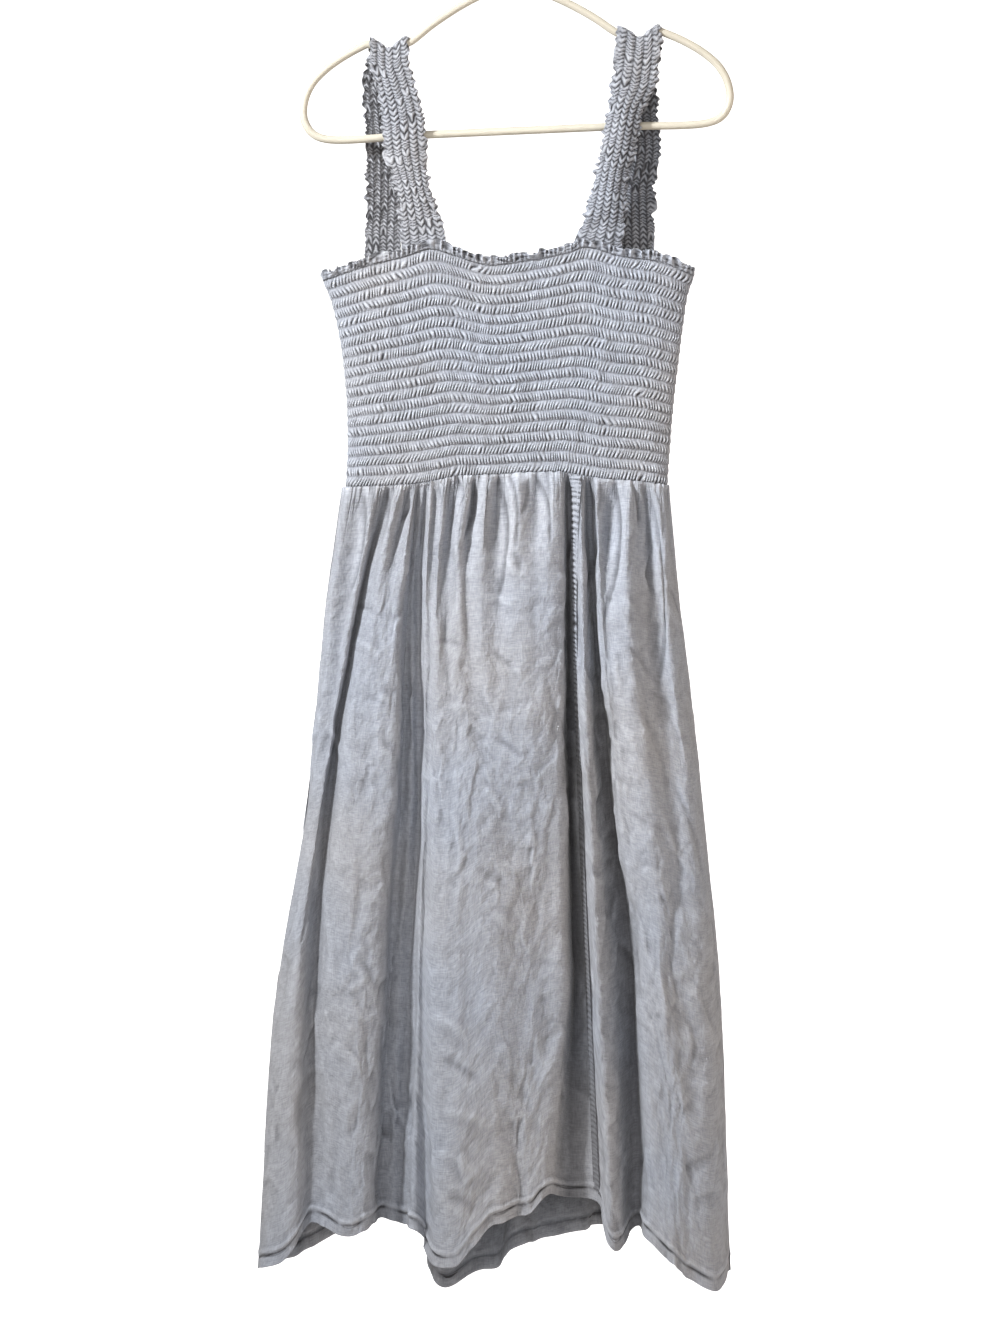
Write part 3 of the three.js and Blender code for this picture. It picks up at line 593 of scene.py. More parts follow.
def make_bodice(name, side, sizes, seed):
    """One half of the smocked bodice."""
    columns, rows = BODICE_GRID
    points, width = bodice_points(side, columns, rows)
    across, down = np.meshgrid(np.linspace(0, width, columns + 1), np.linspace(0, 1, rows + 1))
    height, slip, painted_shading = shirring(across, down, sizes, seed)
    at_side = smoothstep(0, 6, np.minimum(across, width - across))
    normal = outward(points)
    points = points + normal * ((height - 0.3) * (0.35 + 0.65 * at_side))[:, :, None]
    points[:, :, 2] += slip
    return sheet_object(name, points, (width * MM, 0.22), painted_shading=painted_shading)


def make_heading(name, side, sizes, seed):
    """The free frill above the first elastic row, with uneven waves and a rolled edge."""
    columns, rows = HEADING_GRID
    base, width = bodice_points(side, columns, 40)
    across = np.linspace(0, width, columns + 1)
    normal = outward(base)[0]
    points = np.zeros((rows + 1, columns + 1, 3))
    level = across * 0
    wander = 1.6 * soft_noise(across / 22, level, seed) + 0.7 * soft_noise(across / 8, level + 1, seed + 2)
    phase = across / sizes.frill_pitch + wander
    wave = 0.5 - 0.5 * np.cos(2 * np.pi * phase)
    pleat = np.abs(np.sin(np.pi * across / sizes.pucker_pitch + wander * 2))
    tall = HEADING_HEIGHT + 2.2 * soft_noise(across / 6, level + 3, seed + 1)
    swing = 1.0 + 0.7 * soft_noise(across / 12, level + 5, seed + 3)
    at_side = smoothstep(0, 5, np.minimum(across, width - across))
    shades = []
    for r in range(rows + 1):
        up = 1 - r / rows
        knob = soft_noise(across / 3.4, level + 7 * up, seed + 4) * np.sin(np.pi * up) ** 0.5
        out = (4.2 * wave * swing * up**0.8 + 1.2 * pleat * (1 - up) + 1.3 * knob) * at_side
        points[r] = base[0] + normal * (np.maximum(out, 0) + 0.1)[:, None]
        points[r, :, 0] += 2.0 * up * np.sin(2 * np.pi * phase) * at_side
        points[r, :, 2] += SEAM_GAP + tall * up - (0.4 + 2.2 * wave) * swing * up**3
        # Painted shade in the wave troughs and between the pleats, painted highlight on the wave tops and
        # knobs.
        dark = 0.8 * (1 - wave) ** 3 * (0.5 + 0.5 * up) + 0.4 * (1 - pleat) * (1 - up)
        shades.append(dark - 1.0 * wave**2 * up - 0.8 * knob)
    painted_shading = np.clip(np.stack(shades), -1, 1)
    return sheet_object(name, points, (width * MM, HEADING_HEIGHT * MM), thickness=0.9, painted_shading=painted_shading)


def on_hanger(x, z):
    """A place on the tilted hanger, given in the hanger's own upright frame."""
    return Vector((
        x * math.cos(HANGER_TILT) - z * math.sin(HANGER_TILT),
        0,
        x * math.sin(HANGER_TILT) + z * math.cos(HANGER_TILT),
    ))


def notch_rise(distance):
    """The rise of the arm's middle line above the bottom of its notch, and its slope."""
    inside = np.clip(distance, -NOTCH_HALF_WIDTH, NOTCH_HALF_WIDTH)
    angle = np.pi * inside / NOTCH_HALF_WIDTH
    rise = NOTCH_RISE * (0.5 - 0.5 * np.cos(angle)) + inside * math.sin(HANGER_TILT)
    slope = NOTCH_RISE * np.pi / NOTCH_HALF_WIDTH / 2 * np.sin(angle) + math.sin(HANGER_TILT)
    return rise, slope


def strap_rows(table):
    """The strap's table with the turn over the hanger's arm between its back and its front."""
    bottom = on_hanger(table["notch"] * NOTCH_PLACE, NOTCH_HEIGHT)
    reach = TUBE_RADIUS + STRAP_SEAT_GAP + CLOTH_WALL / 2
    width = (table["back"][-1][3] + table["front"][0][3]) / 2
    turn = [
        (bottom.x, bottom.z + reach * math.cos(angle), reach * math.sin(angle), width, 0)
        for angle in map(math.radians, (90, 45, 0, -45, -90))
    ]
    return table["back"] + turn + table["front"]


def strap_points(table, columns, rows):
    """The plain surface of a strap, its columns across and its rows from the back seam to the front seam."""
    bottom = on_hanger(table["notch"] * NOTCH_PLACE, NOTCH_HEIGHT)
    listed = strap_rows(table)
    levels = [k / (len(listed) - 1) for k in range(len(listed))]
    fine = np.linspace(0, 1, STRAP_FINE_STEPS)
    names = STRAP_COLUMNS
    lines = {n: np.array([between(levels, column(listed, names, n), d) for d in fine]) for n in names}
    middle = np.stack([lines["centre"], lines["depth"], lines["height"]], axis=1)
    stops, length = even_stops(middle, rows)
    u = np.linspace(-1, 1, columns + 1)[None, :]
    at = {n: np.interp(stops, fine, lines[n])[:, None] for n in names}
    x = at["centre"] + u * at["width"] / 2
    near_arm = bell(bottom.z, at["height"], STRAP_NOTCH_FADE)
    rise, slope = notch_rise(x - bottom.x)
    over_arm = np.maximum(0, at["height"] - bottom.z) * (np.hypot(1, slope) - 1)
    free = np.abs(at["depth"]) + at["crest"] * (1 - u * u)
    left, right = BODICE_SIDES[0][1], BODICE_SIDES[0][2]
    place = (x - left) / (right - left) * 2 - 1
    behind_wall = BODICE_INNER_LAYER + SEAM_GAP + CLOTH_WALL / 2
    seated = np.minimum(free, lens_depth(place, BODICE_DEPTH_TOP) - behind_wall)
    seat = smoothstep(*STRAP_SEAT, -at["height"])
    depth = np.sign(at["depth"]) * (free * (1 - seat) + seated * seat)
    return np.stack([x, depth, at["height"] + rise * near_arm + over_arm], axis=2), length


def make_strap(name, table, sizes, seed):
    """A shirred strap: lengthwise ribs between its elastic lines, small chevron puckers and frilled edges."""
    columns, rows = STRAP_GRID
    points, length = strap_points(table, columns, rows)
    u, along = np.meshgrid(np.linspace(0, 1, columns + 1), np.linspace(0, length, rows + 1))
    ribs = u * STRAP_CORDS
    rib = np.minimum(np.floor(ribs), STRAP_CORDS - 1)
    inside = ribs - rib
    puff = np.sin(np.pi * inside)
    wander = 1.2 * soft_noise(along / 24, rib * 0.35, seed)
    wander += 0.7 * soft_noise(along / 8, rib * 2.9, seed + 1)
    chevron = 0.75 * np.abs(inside - 0.5) * 2
    phase = along / sizes.strap_pucker_pitch + wander + chevron
    pleat = arches(phase) ** 0.7
    strength = 0.8 + 0.4 * soft_noise(along / 5, rib * 3.1, seed + 2)
    # Painted shade between the puckers and along the elastic lines, painted highlight on the pucker tops.
    painted_shading = (1 - pleat) ** 1.1 * (1.3 + 1.5 * strength) + (1 - puff) ** 4 * 0.8 - 0.9 * pleat**3 * puff
    # Painted shade on the strap's back part, which the front strap shades, and on the turned half of its
    # front.
    behind = 1 - smoothstep(0.4, 0.47, along / length)
    turned = smoothstep(0.5, 0.75, u) * smoothstep(0.58, 0.66, along / length) * table["turned"]
    painted_shading += 0.25 * behind + turned
    seated = smoothstep(24, 44, np.minimum(along, length - along))
    height = 1.0 * puff**0.8 + sizes.pucker_height * strength * (0.45 + 0.55 * puff**0.6) * (pleat - 0.6)
    edge = np.abs(2 * u - 1) ** 8
    frill_phase = along / sizes.frill_pitch + 1.4 * soft_noise(along / 20, u * 0 + 9, seed + 5)
    frill = np.sin(2 * np.pi * frill_phase)
    ruffle = 0.75 + 1.0 * soft_noise(along / 9, u * 3, seed + 6)
    height = height * (0.25 + 0.75 * seated) + 2.6 * edge * frill * seated * ruffle
    # On the frilled edges, painted highlight on the wave tops and painted shade in the troughs.
    painted_shading = np.clip(painted_shading * (1 - edge) - edge * (0.8 * frill - 0.15), -1, 1)
    points = points + outward(points) * height[:, :, None]
    flare = 1.3 * np.cos(2 * np.pi * frill_phase * 0.77 + 3 * u)
    flare += 2.4 * soft_noise(along / 7, u * 5, seed + 7)
    points[:, :, 0] += edge * flare * np.sign(2 * u - 1) * (0.3 + 0.7 * seated)
    return sheet_object(name, points, (STRAP_FLAT[0], length * MM), thickness=0.8, painted_shading=painted_shading)


def skirt_stations(down):
    """The points of every fold line at one level, round the skirt."""
    left = SKIRT_FRONT[0][1][0]
    right = SKIRT_FRONT[-1][1][0]
    waist_left, waist_right = BODICE_SIDES[-1][1], BODICE_SIDES[-1][2]
    line_place = column(BODICE_LINES, LINES_COLUMNS, "place")
    waist_line = column(BODICE_LINES, LINES_COLUMNS, "waist")
    stations = []
    rows = [(row, -1) for row in SKIRT_FRONT] + [(row, 1) for row in reversed(SKIRT_BACK)]
    for (_, across, depths, hem), side in rows:
        place = (across[0] - left) / (right - left) * 2 - 1
        bodice_place = (across[0] - waist_left) / (waist_right - waist_left) * 2 - 1
        at_waist = float(lens_depth(place, BODICE_DEPTH_WAIST + SKIRT_LEDGE))
        depth = between(SKIRT_DEPTH_LEVELS, (at_waist, *depths), down)
        top = between(line_place, waist_line, min(1, max(-1, bodice_place))) - SEAM_GAP / 2
        stations.append((between(SKIRT_X_LEVELS, across, down), side * depth, top + (hem - top) * down))
    return np.array(stations)


def round_curve(stations, places):
    """Points of a closed curve through the stations, at places counted in stations."""
    count = len(stations)
    first = np.floor(places).astype(int)
    t = (places - first)[:, None]
    before, start, end, after = (stations[(first + k) % count] for k in (-1, 0, 1, 2))

    def step(a, b):
        return np.maximum(np.sum((b - a) ** 2, axis=1, keepdims=True) ** 0.25, 1e-4)

    d0, d1, d2 = step(before, start), step(start, end), step(end, after)
    leave = ((start - before) / d0 - (end - before) / (d0 + d1) + (end - start) / d1) * d1
    arrive = ((end - start) / d1 - (after - start) / (d1 + d2) + (after - end) / d2) * d1
    c2 = -3 * start + 3 * end - 2 * leave - arrive
    c3 = 2 * start - 2 * end + leave + arrive
    return start + leave * t + c2 * t * t + c3 * t * t * t


def pressed_creases(points, creases):
    """How far the listed creases stand out at each point: a soft ridge or trough that fades at its ends."""
    height = np.zeros(points.shape[:2])
    for from_x, from_z, to_x, to_z, half_width, tall in creases:
        start = np.array([from_x, from_z])
        line = np.array([to_x - from_x, to_z - from_z])
        length = np.linalg.norm(line)
        away = points[:, :, [0, 2]] - start
        share = (away @ line) / length**2
        aside = (away @ np.array([-line[1], line[0]])) / length
        bend = 0.06 * length * np.sin(np.pi * np.clip(share, 0, 1))
        fade = smoothstep(-0.15, 0.25, share) * (1 - smoothstep(0.7, 1.15, share))
        height += tall * fade * bell(aside, bend, half_width)
    return height


def cloth_relief(across_mm, down_mm, sizes, seed):
    """Heights of the crumpled linen below the waist seam, in millimetres."""
    u = across_mm
    v = down_mm
    warp_u = u + 9 * soft_noise(u / 40, v / 60, seed + 11)
    warp_v = v + 14 * soft_noise(u / 50, v / 70, seed + 12)
    large = crumple(warp_u / 42, warp_v / 110, seed, 6.0) * 5.5
    medium = crumple(warp_u / 19, warp_v / 34, seed + 20, 16.0) * 2.4
    small = crumple(warp_u / 10, warp_v / 12, seed + 40, 18.0) * 0.75
    trails = soft_noise(u / 9, v / 170, seed + 60) * 0.9 + soft_noise(u / 17, v / 260, seed + 61) * 1.4
    trail_fade = smoothstep(2, 24, v) * (0.4 + 0.6 * np.exp(-v / 190))
    patchy = 0.7 + 0.6 * soft_noise(u / 70, v / 90, seed + 70)
    settle = smoothstep(10, 90, v)
    crumpled = (large + (medium + small) * patchy) * settle * sizes.crumple
    pleats = arches(u / 10.5 + soft_noise(u / 37, v / 300, seed + 81))
    gathers = (pleats - 0.7) * 1.6 * np.exp(-v / 16)
    gathers += soft_noise(u / 12, v / 90, seed + 80) * 1.7 * np.exp(-v / 55) * smoothstep(0, 10, v)
    seam_roll = 1.3 * bell(v, 1.8, 1.8)
    return crumpled + trails * trail_fade + gathers + seam_roll


def smoothed(values, reach):
    """The values averaged over their neighbours, reach steps each way."""
    kernel = soft_kernel(reach)
    for axis in (0, 1):
        edges = [(reach, reach) if k == axis else (0, 0) for k in (0, 1)]
        padded = np.pad(values, edges, mode="edge")
        values = np.apply_along_axis(np.convolve, axis, padded, kernel, "valid")
    return values


def skirt_levels(rows):
    """Rows of points from the waist seam to the hem, close together at both."""
    near_waist, near_hem = 16, 20
    waist_share, hem_share = 22 / SKIRT_LENGTH, 26 / SKIRT_LENGTH
    top = np.linspace(0, waist_share, near_waist + 1)
    middle = np.linspace(waist_share, 1 - hem_share, rows - near_waist - near_hem + 1)
    bottom = np.linspace(1 - hem_share, 1, near_hem + 1)
    return np.concatenate([top[:-1], middle[:-1], bottom])


def fold_shades(places, levels):
    """The painted shade down in the cloth's deep folds, at places counted in fold lines."""
    names = [row[0] for row in SKIRT_FRONT]
    total = np.zeros((len(levels), len(places)))
    for fold, shades, reach in FOLD_SHADES:
        aside = bell(places, names.index(fold), reach)
        fall = np.array([between(SKIRT_X_LEVELS, shades, level) for level in levels])
        total += fall[:, None] * aside[None, :]
    return total


def hem_relief(across_mm, above_hem, seed):
    """Heights of the turned hem: a flat band below a puckered stitched groove that the cloth bulges over."""
    level = across_mm * 0
    stitching = HEM_BAND - 1.2 + 1.1 * soft_noise(across_mm / 14, level + 2, seed + 92)
    past = above_hem - stitching
    strength = np.clip(0.6 + 0.8 * soft_noise(across_mm / 17, level + 8, seed + 94), 0.1, 1)
    groove = bell(past, 0, 1.3) * strength
    fullness = 1 + 0.5 * soft_noise(across_mm / 18, level + 6, seed + 93)
    bulge = bell(past, 4.5, 3.2) * fullness
    pucker = soft_noise(across_mm / 6.5, above_hem / 9, seed + 90) * np.exp(-np.abs(past) / 7)
    ripple = soft_noise(across_mm / 24, level + 4, seed + 91) * np.exp(-above_hem / 16)
    curl = 0.9 * np.exp(-above_hem / 2.2)
    return 2.0 * bulge - 1.5 * groove + 0.8 * pucker + 1.8 * ripple + curl, groove


def make_skirt_panel(name, first, last, columns, rows, creases, sizes, seed):
    """A panel of the skirt between two fold lines, crumpled, creased and hemmed."""
    fine = np.linspace(first, last, PANEL_FINE_STEPS)
    middle = round_curve(skirt_stations(0.45), fine)
    stops, width = even_stops(middle, columns)
    places = first + (last - first) * stops
    trim = (SEAM_GAP / 2) / (width / (last - first))
    places[0] += trim
    places[-1] -= trim
    levels = skirt_levels(rows)
    points = np.stack([round_curve(skirt_stations(d), places) for d in levels])
    across, down = np.meshgrid(np.linspace(0, width, columns + 1), levels * SKIRT_LENGTH)
    shades = fold_shades(places, levels)
    height = cloth_relief(across, down, sizes, seed) * (1 - 0.75 * np.clip(shades, 0, 1))
    height += pressed_creases(points, creases)
    hem, hem_groove = hem_relief(across, SKIRT_LENGTH - down, seed)
    height += hem
    at_seam = smoothstep(0, 10, np.minimum(across, width - across))
    height *= 0.25 + 0.75 * at_seam
    points = points + outward(points) * height[:, :, None]
    waves = 1.8 * soft_noise(across / 30, across * 0, seed + 95)
    waves += 1.1 * soft_noise(across / 11, across * 0, seed + 96)
    points[:, :, 2] += waves * smoothstep(0.95, 1, levels)[:, None]
    # Painted shade in the hem's stitched groove, in the dips of the relief and in the deep folds; painted
    # highlight on the relief's tops and on the ledge just under the waist seam.
    ledge_highlight = bell(down, 3.5, 4)
    painted_shading = np.clip(1.3 * hem_groove - (height - smoothed(height, 5)) * 0.36, -0.4, 1)
    painted_shading = np.clip(painted_shading + shades - 0.5 * ledge_highlight, -1, 1)
    # Where the fine gather lines show, as bump and as painted shade.
    drawn = 0.6 + 0.6 * soft_noise(across / 15, down / 90, seed + 97)
    gathers = np.clip(np.exp(-down / 34) * drawn, 0, 1)
    turned = [int(np.argmin(np.abs(SKIRT_LENGTH * (1 - levels) - rise))) for rise in HEM_TURN_HEIGHTS]
    inner = points - outward(points) * sizes.cloth_thickness
    points = np.concatenate([points, inner[turned]])
    painted_shading = np.concatenate([painted_shading, painted_shading[turned]])
    gathers = np.concatenate([gathers, gathers[turned]])
    falls = np.concatenate([levels * SKIRT_LENGTH, SKIRT_LENGTH + np.array(HEM_TURN_HEIGHTS)])
    return sheet_object(name, points, (width * MM, SKIRT_LENGTH * MM), 0, painted_shading, gathers, falls)


def make_seam_strip(name, sizes, seed):
    """The felled seam between the front panels: a strip that the stitching on both its edges puckers."""
    columns, rows = SEAM_STRIP_GRID
    levels = np.linspace(0.003, 0.985, rows + 1)
    near = np.linspace(PANEL_SEAM - 0.95, PANEL_SEAM + 0.95, SEAM_FINE_STEPS)
    points = np.zeros((rows + 1, columns + 1, 3))
    across = np.linspace(-1, 1, columns + 1)
    for r, level in enumerate(levels):
        drawn = round_curve(skirt_stations(level), near)
        travelled = travelled_along(drawn)
        travelled -= travelled[len(near) // 2]
        half = sizes.seam_width / 2 * (1 - 0.35 * float(smoothstep(0.1, 0.2, level)))
        for k in range(3):
            points[r, :, k] = np.interp(across * half, travelled, drawn[:, k])
    over, down = np.meshgrid(across, levels * SKIRT_LENGTH)
    pucker_phase = down / 5.4 + 0.8 * soft_noise(down / 21, over * 0, seed) + 0.12 * over
    puckers = arches(pucker_phase)
    edges = bell(np.abs(over), 0.8, 0.14)
    hidden = smoothstep(0.26, 0.36, down / SKIRT_LENGTH)
    height = 1.2 + 1.9 * (puckers - 0.4) * (1 - over**4) * (1 - 0.6 * hidden) - 0.5 * edges
    # Painted shade between the puckers and along the stitched edges, painted highlight on the pucker tops,
    # and painted shade over the strip's lower part where the fold shades it.
    painted_shading = (1 - puckers) ** 1.3 + 0.35 * edges - 0.4 * puckers**3
    painted_shading = np.clip(painted_shading * (1 - 0.7 * hidden) + 0.6 * hidden, -1, 1)
    points = points + outward(points) * height[:, :, None]
    return sheet_object(name, points, (sizes.seam_width * MM, SKIRT_LENGTH * MM), painted_shading=painted_shading)


def tube_points(middle, radius, around, closed):
    """Rings of a round tube whose middle line lies in the hanger's plane."""
    middle = np.array(middle)
    before = np.roll(middle, 1, axis=0) if closed else np.concatenate([middle[:1], middle[:-1]])
    after = np.roll(middle, -1, axis=0) if closed else np.concatenate([middle[1:], middle[-1:]])
    tangent = after - before
    tangent /= np.linalg.norm(tangent, axis=1, keepdims=True)
    forwards = np.array([0.0, 1.0, 0.0])
    outwards = np.cross(tangent, forwards)
    angles = np.linspace(0, 2 * np.pi, around + 1)
    ring = np.cos(angles)[None, :, None] * outwards[:, None, :] + np.sin(angles)[None, :, None] * forwards
    points = middle[:, None, :] + radius * ring
    if closed:
        points = np.concatenate([points, points[:1]])
    return points


def smooth_line(corners, closed, spacing):
    """An evenly drawn line through corners."""
    corners = np.array(corners, dtype=float)
    count = len(corners)
    if closed:
        fine = np.linspace(0, count, 1600, endpoint=False)
        drawn = round_curve(corners, fine)
    else:
        padded = np.concatenate([[2 * corners[0] - corners[1]], corners, [2 * corners[-1] - corners[-2]]])
        fine = np.linspace(1, count - 1e-6, 900)
        drawn = round_curve(padded, fine)
    travelled = travelled_along(drawn)
    marks = np.arange(0, travelled[-1], spacing)
    return np.stack([np.interp(marks, travelled, drawn[:, k]) for k in range(3)], axis=1)


def tube_mesh(bm, points):
    """Adds a closed round tube to a mesh, from its rings of points."""
    rows, columns = points.shape[0] - 1, points.shape[1] - 1
    made = bmesh.ops.create_grid(bm, x_segments=columns, y_segments=rows, size=0.5)
    for vert in made["verts"]:
        across = round((vert.co.x + 0.5) * columns)
        down = round((0.5 - vert.co.y) * rows)
        vert.co = Vector(points[down, across]) * MM
    bmesh.ops.remove_doubles(bm, verts=made["verts"], dist=1e-6)


def make_hanger_piece():
    """The whole tubular hanger: its arms with strap notches, its bar and its hook."""
    notch = [
        (NOTCH_PLACE + d, NOTCH_HEIGHT + NOTCH_RISE * (0.5 - 0.5 * math.cos(math.pi * d / NOTCH_HALF_WIDTH)))
        for d in np.linspace(-NOTCH_HALF_WIDTH, NOTCH_HALF_WIDTH, 11)
    ]
    right = ARM_FROM_NECK + notch + ARM_TO_BAR
    left = [(-x, z) for x, z in reversed(right[1:-1])]
    loop = smooth_line([tuple(on_hanger(x, z)) for x, z in right + left], True, 3.0)
    radius = HOOK_INNER_RADIUS + TUBE_RADIUS
    angles = np.linspace(HOOK_TIP_ANGLE, HOOK_FOOT_ANGLE, 17)
    arc = [(radius * math.cos(a), radius * math.sin(a) - HOOK_INNER_RADIUS) for a in angles]
    hook = smooth_line([tuple(on_hanger(x, z)) for x, z in arc + HOOK_STEM], False, 2.5)
    bm = bmesh.new()
    tube_mesh(bm, tube_points(loop, TUBE_RADIUS, TUBE_SIDES, True))
    tube_mesh(bm, tube_points(hook, TUBE_RADIUS, TUBE_SIDES, False))
    tip = on_hanger(*arc[0])
    cap = bmesh.ops.create_uvsphere(
        bm, u_segments=TUBE_SIDES, v_segments=TUBE_SIDES // 2, radius=TUBE_RADIUS * MM
    )
    bmesh.ops.translate(bm, verts=cap["verts"], vec=tip * MM)
    bmesh.ops.recalc_face_normals(bm, faces=bm.faces)
    for face in bm.faces:
        face.smooth = True
    return linked_object("hanger_tube", bm)


class NodeBench:
    """Short ways to add and join nodes of one material."""

    def __init__(self, name):
        self.material = bpy.data.materials.new(name)
        self.material.use_nodes = True
        self.tree = self.material.node_tree
        self.shader = self.tree.nodes["Principled BSDF"]

    def feed(self, node, inputs):
        """Joins a node's inputs to other nodes' outputs, or sets them to plain values."""
        for key, value in inputs.items():
            if isinstance(value, bpy.types.NodeSocket):
                self.tree.links.new(value, node.inputs[key])
            else:
                node.inputs[key].default_value = value

    def node(self, kind, inputs=None, **settings):
        made = self.tree.nodes.new(kind)
        for key, value in settings.items():
            setattr(made, key, value)
        self.feed(made, inputs or {})
        return made

    def math(self, operation, *values):
        return self.node("ShaderNodeMath", dict(enumerate(values)), operation=operation).outputs["Value"]

    def noise(self, vector, scale, detail, roughness=0.5, output="Fac"):
        inputs = {"Vector": vector, "Scale": scale, "Detail": detail, "Roughness": roughness}
        return self.node("ShaderNodeTexNoise", inputs).outputs[output]

    def stretched(self, vector, scale):
        return self.node("ShaderNodeMapping", {"Vector": vector, "Scale": scale}).outputs["Vector"]

    def sum(self, first, second, share):
        """first plus share of second."""
        return self.math("MULTIPLY_ADD", second, share, first)

    def blend(self, factor, first, second, blend_type="MIX"):
        """One colour blended into another, each a node's output or three numbers."""
        inputs = {"Factor": factor}
        for key, colour in ((6, first), (7, second)):
            inputs[key] = colour if isinstance(colour, bpy.types.NodeSocket) else (*colour, 1)
        return self.node("ShaderNodeMix", inputs, data_type="RGBA", blend_type=blend_type).outputs[2]

    def tinted(self, colour, tint):
        return self.blend(1.0, colour, tint, "MULTIPLY")

    def near(self, value, middle, reach):
        """1 where a value is the middle one, falling to 0 at reach to both sides."""
        return self.ramp(self.math("ABSOLUTE", self.math("SUBTRACT", value, middle)), reach, 0)

    def cells(self, vector, scale):
        """Distance to the middle of uneven cells, which meet in creases."""
        made = self.node("ShaderNodeTexVoronoi", {"Vector": vector, "Scale": scale}, feature="F1")
        return made.outputs["Distance"]

    def ramp(self, factor, low, high):
        inputs = {"Value": factor, "From Min": low, "From Max": high}
        return self.node("ShaderNodeMapRange", inputs).outputs["Result"]

    def bump(self, height, strength, distance):
        made = self.node("ShaderNodeBump", {"Height": height, "Strength": strength, "Distance": distance})
        self.feed(self.shader, {"Normal": made.outputs["Normal"]})


def linen_material(colours):
    """Washed linen: cool and warm patches, uneven threads both ways, fine creases, painted shade and
    highlight, and a soft sheen.
    """
    bench = NodeBench("washed linen")
    white = (1.0, 1.0, 1.0)
    cloth = bench.node("ShaderNodeUVMap", uv_map="cloth").outputs["UV"]
    place = bench.node("ShaderNodeTexCoord").outputs["Object"]
    patches = bench.ramp(bench.noise(place, 5.5, 2), 0.36, 0.64)
    weft = bench.noise(bench.stretched(cloth, (150, 950, 1)), 1.0, 2)
    warp = bench.noise(bench.stretched(cloth, (950, 130, 1)), 1.0, 2)
    slubs = bench.noise(bench.stretched(cloth, (95, 360, 1)), 1.0, 2)
    yarns = bench.sum(bench.sum(weft, warp, 0.9), slubs, 0.5)
    threads = bench.ramp(yarns, 0.95, 1.45)
    tone = bench.blend(patches, colours.cool, colours.warm)
    tone = bench.tinted(tone, bench.blend(threads, colours.thread_shade, colours.thread_light))

    bending = {0: bench.noise(cloth, 14, 2, output="Color"), 1: (0.05, 0.05, 0), 2: cloth}
    bent = bench.node("ShaderNodeVectorMath", bending, operation="MULTIPLY_ADD")
    folded = bench.stretched(bent.outputs["Vector"], (1.0, 0.6, 1))
    facets = bench.sum(bench.cells(folded, 36), bench.cells(folded, 85), -0.45)

    # Fine gather lines under the waist seam: bump, and painted shade in the drawn colour.
    gather = bench.node("ShaderNodeAttribute", attribute_name="gather").outputs["Fac"]
    drawn = bench.near(bench.noise(bench.stretched(cloth, (105, 4, 1)), 1.0, 2), 0.5, 0.045)
    drawn = bench.math("MULTIPLY", drawn, gather)
    tone = bench.tinted(tone, bench.blend(drawn, white, colours.drawn))

    # The cloth's painted shading: darker where shade falls, paler as a painted highlight on the tops of
    # puckers and creases.
    painted_shade = bench.node("ShaderNodeAttribute", attribute_name="painted_shade").outputs["Fac"]
    tone = bench.tinted(tone, bench.blend(bench.ramp(painted_shade, 0, 1), white, colours.painted_shade))
    tone = bench.tinted(tone, bench.blend(bench.ramp(painted_shade, 0, -1), white, colours.crest))

    rumple = bench.noise(bench.stretched(cloth, (75, 48, 1)), 1.0, 4, 0.62)
    relief = bench.sum(weft, warp, 0.8)
    for layer, share in ((rumple, 7.0), (facets, 6.0), (drawn, -3.0)):
        relief = bench.sum(relief, layer, share)
    bench.bump(relief, strength=0.9, distance=0.0006)
    bench.feed(bench.shader, {
        "Base Color": tone,
        "Roughness": 0.92,
        "Sheen Weight": 0.18,
        "Sheen Roughness": 0.5,
        "Specular IOR Level": 0.25,
    })
    return bench.material


def hanger_material(colours):
    """Cream moulded plastic with faint mottling and rubbed gloss."""
    bench = NodeBench("cream plastic")
    place = bench.node("ShaderNodeTexCoord").outputs["Object"]
    mottle = bench.ramp(bench.noise(place, 40, 3), 0.3, 0.7)
    paler = tuple(min(1, c * 1.05) for c in colours.hanger)
    rubbing = {"Value": bench.noise(place, 90, 4), "To Min": 0.32, "To Max": 0.5}
    rub = bench.node("ShaderNodeMapRange", rubbing)
    bench.bump(bench.noise(place, 500, 2), strength=0.15, distance=0.0003)
    tone = bench.blend(mottle, colours.hanger, paler)
    bench.feed(bench.shader, {"Base Color": tone, "Roughness": rub.outputs["Result"]})
    return bench.material


def finish_cloth(piece, node=None):
    """Gives a cloth piece the linen that all share, ties it to the body and hides the part it stands for, if
    one is given.
    """
    linen = bpy.data.materials.get("washed linen")
    piece.data.materials.append(linen or linen_material(bpy.context.scene.dress_colours))
    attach(piece, BODY)
    if node:
        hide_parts(node)


def length_setting(name, description, millimetres, least):
    """A length, which Blender keeps in metres."""
    return bpy.props.FloatProperty(
        name=name, description=description, default=millimetres * MM, min=least * MM,
        subtype="DISTANCE", unit="LENGTH",
    )


def colour_setting(name, description, default):
    return bpy.props.FloatVectorProperty(name=name, description=description, default=default, subtype="COLOR")


class DressSizes(bpy.types.PropertyGroup):
    """Sizes of the cloth's relief."""

    pucker_pitch: length_setting("Pucker pitch", "Spacing of the small pleats along an elastic row", 3.2, 2)
    pucker_height: length_setting("Pucker height", "Height of the small pleats", 2.9, 0)
    puff_height: length_setting("Puff height", "Height of the cloth between two elastic rows", 1.7, 0)
    strap_pucker_pitch: length_setting("Strap pucker pitch", "Spacing of a strap's small pleats", 4.3, 2)
    frill_pitch: length_setting("Frill pitch", "Spacing of the waves along a frilled edge", 6.2, 3)
    seam_width: length_setting("Seam width", "Width of the felled seam between the front panels", 15, 4)
    cloth_thickness: length_setting("Cloth thickness", "Thickness of the skirt's cloth", 0.8, 0.2)
    crumple: bpy.props.FloatProperty(
        name="Crumple", description="Strength of the washed linen's crumples",
        default=1.0, min=0, subtype="FACTOR",
    )


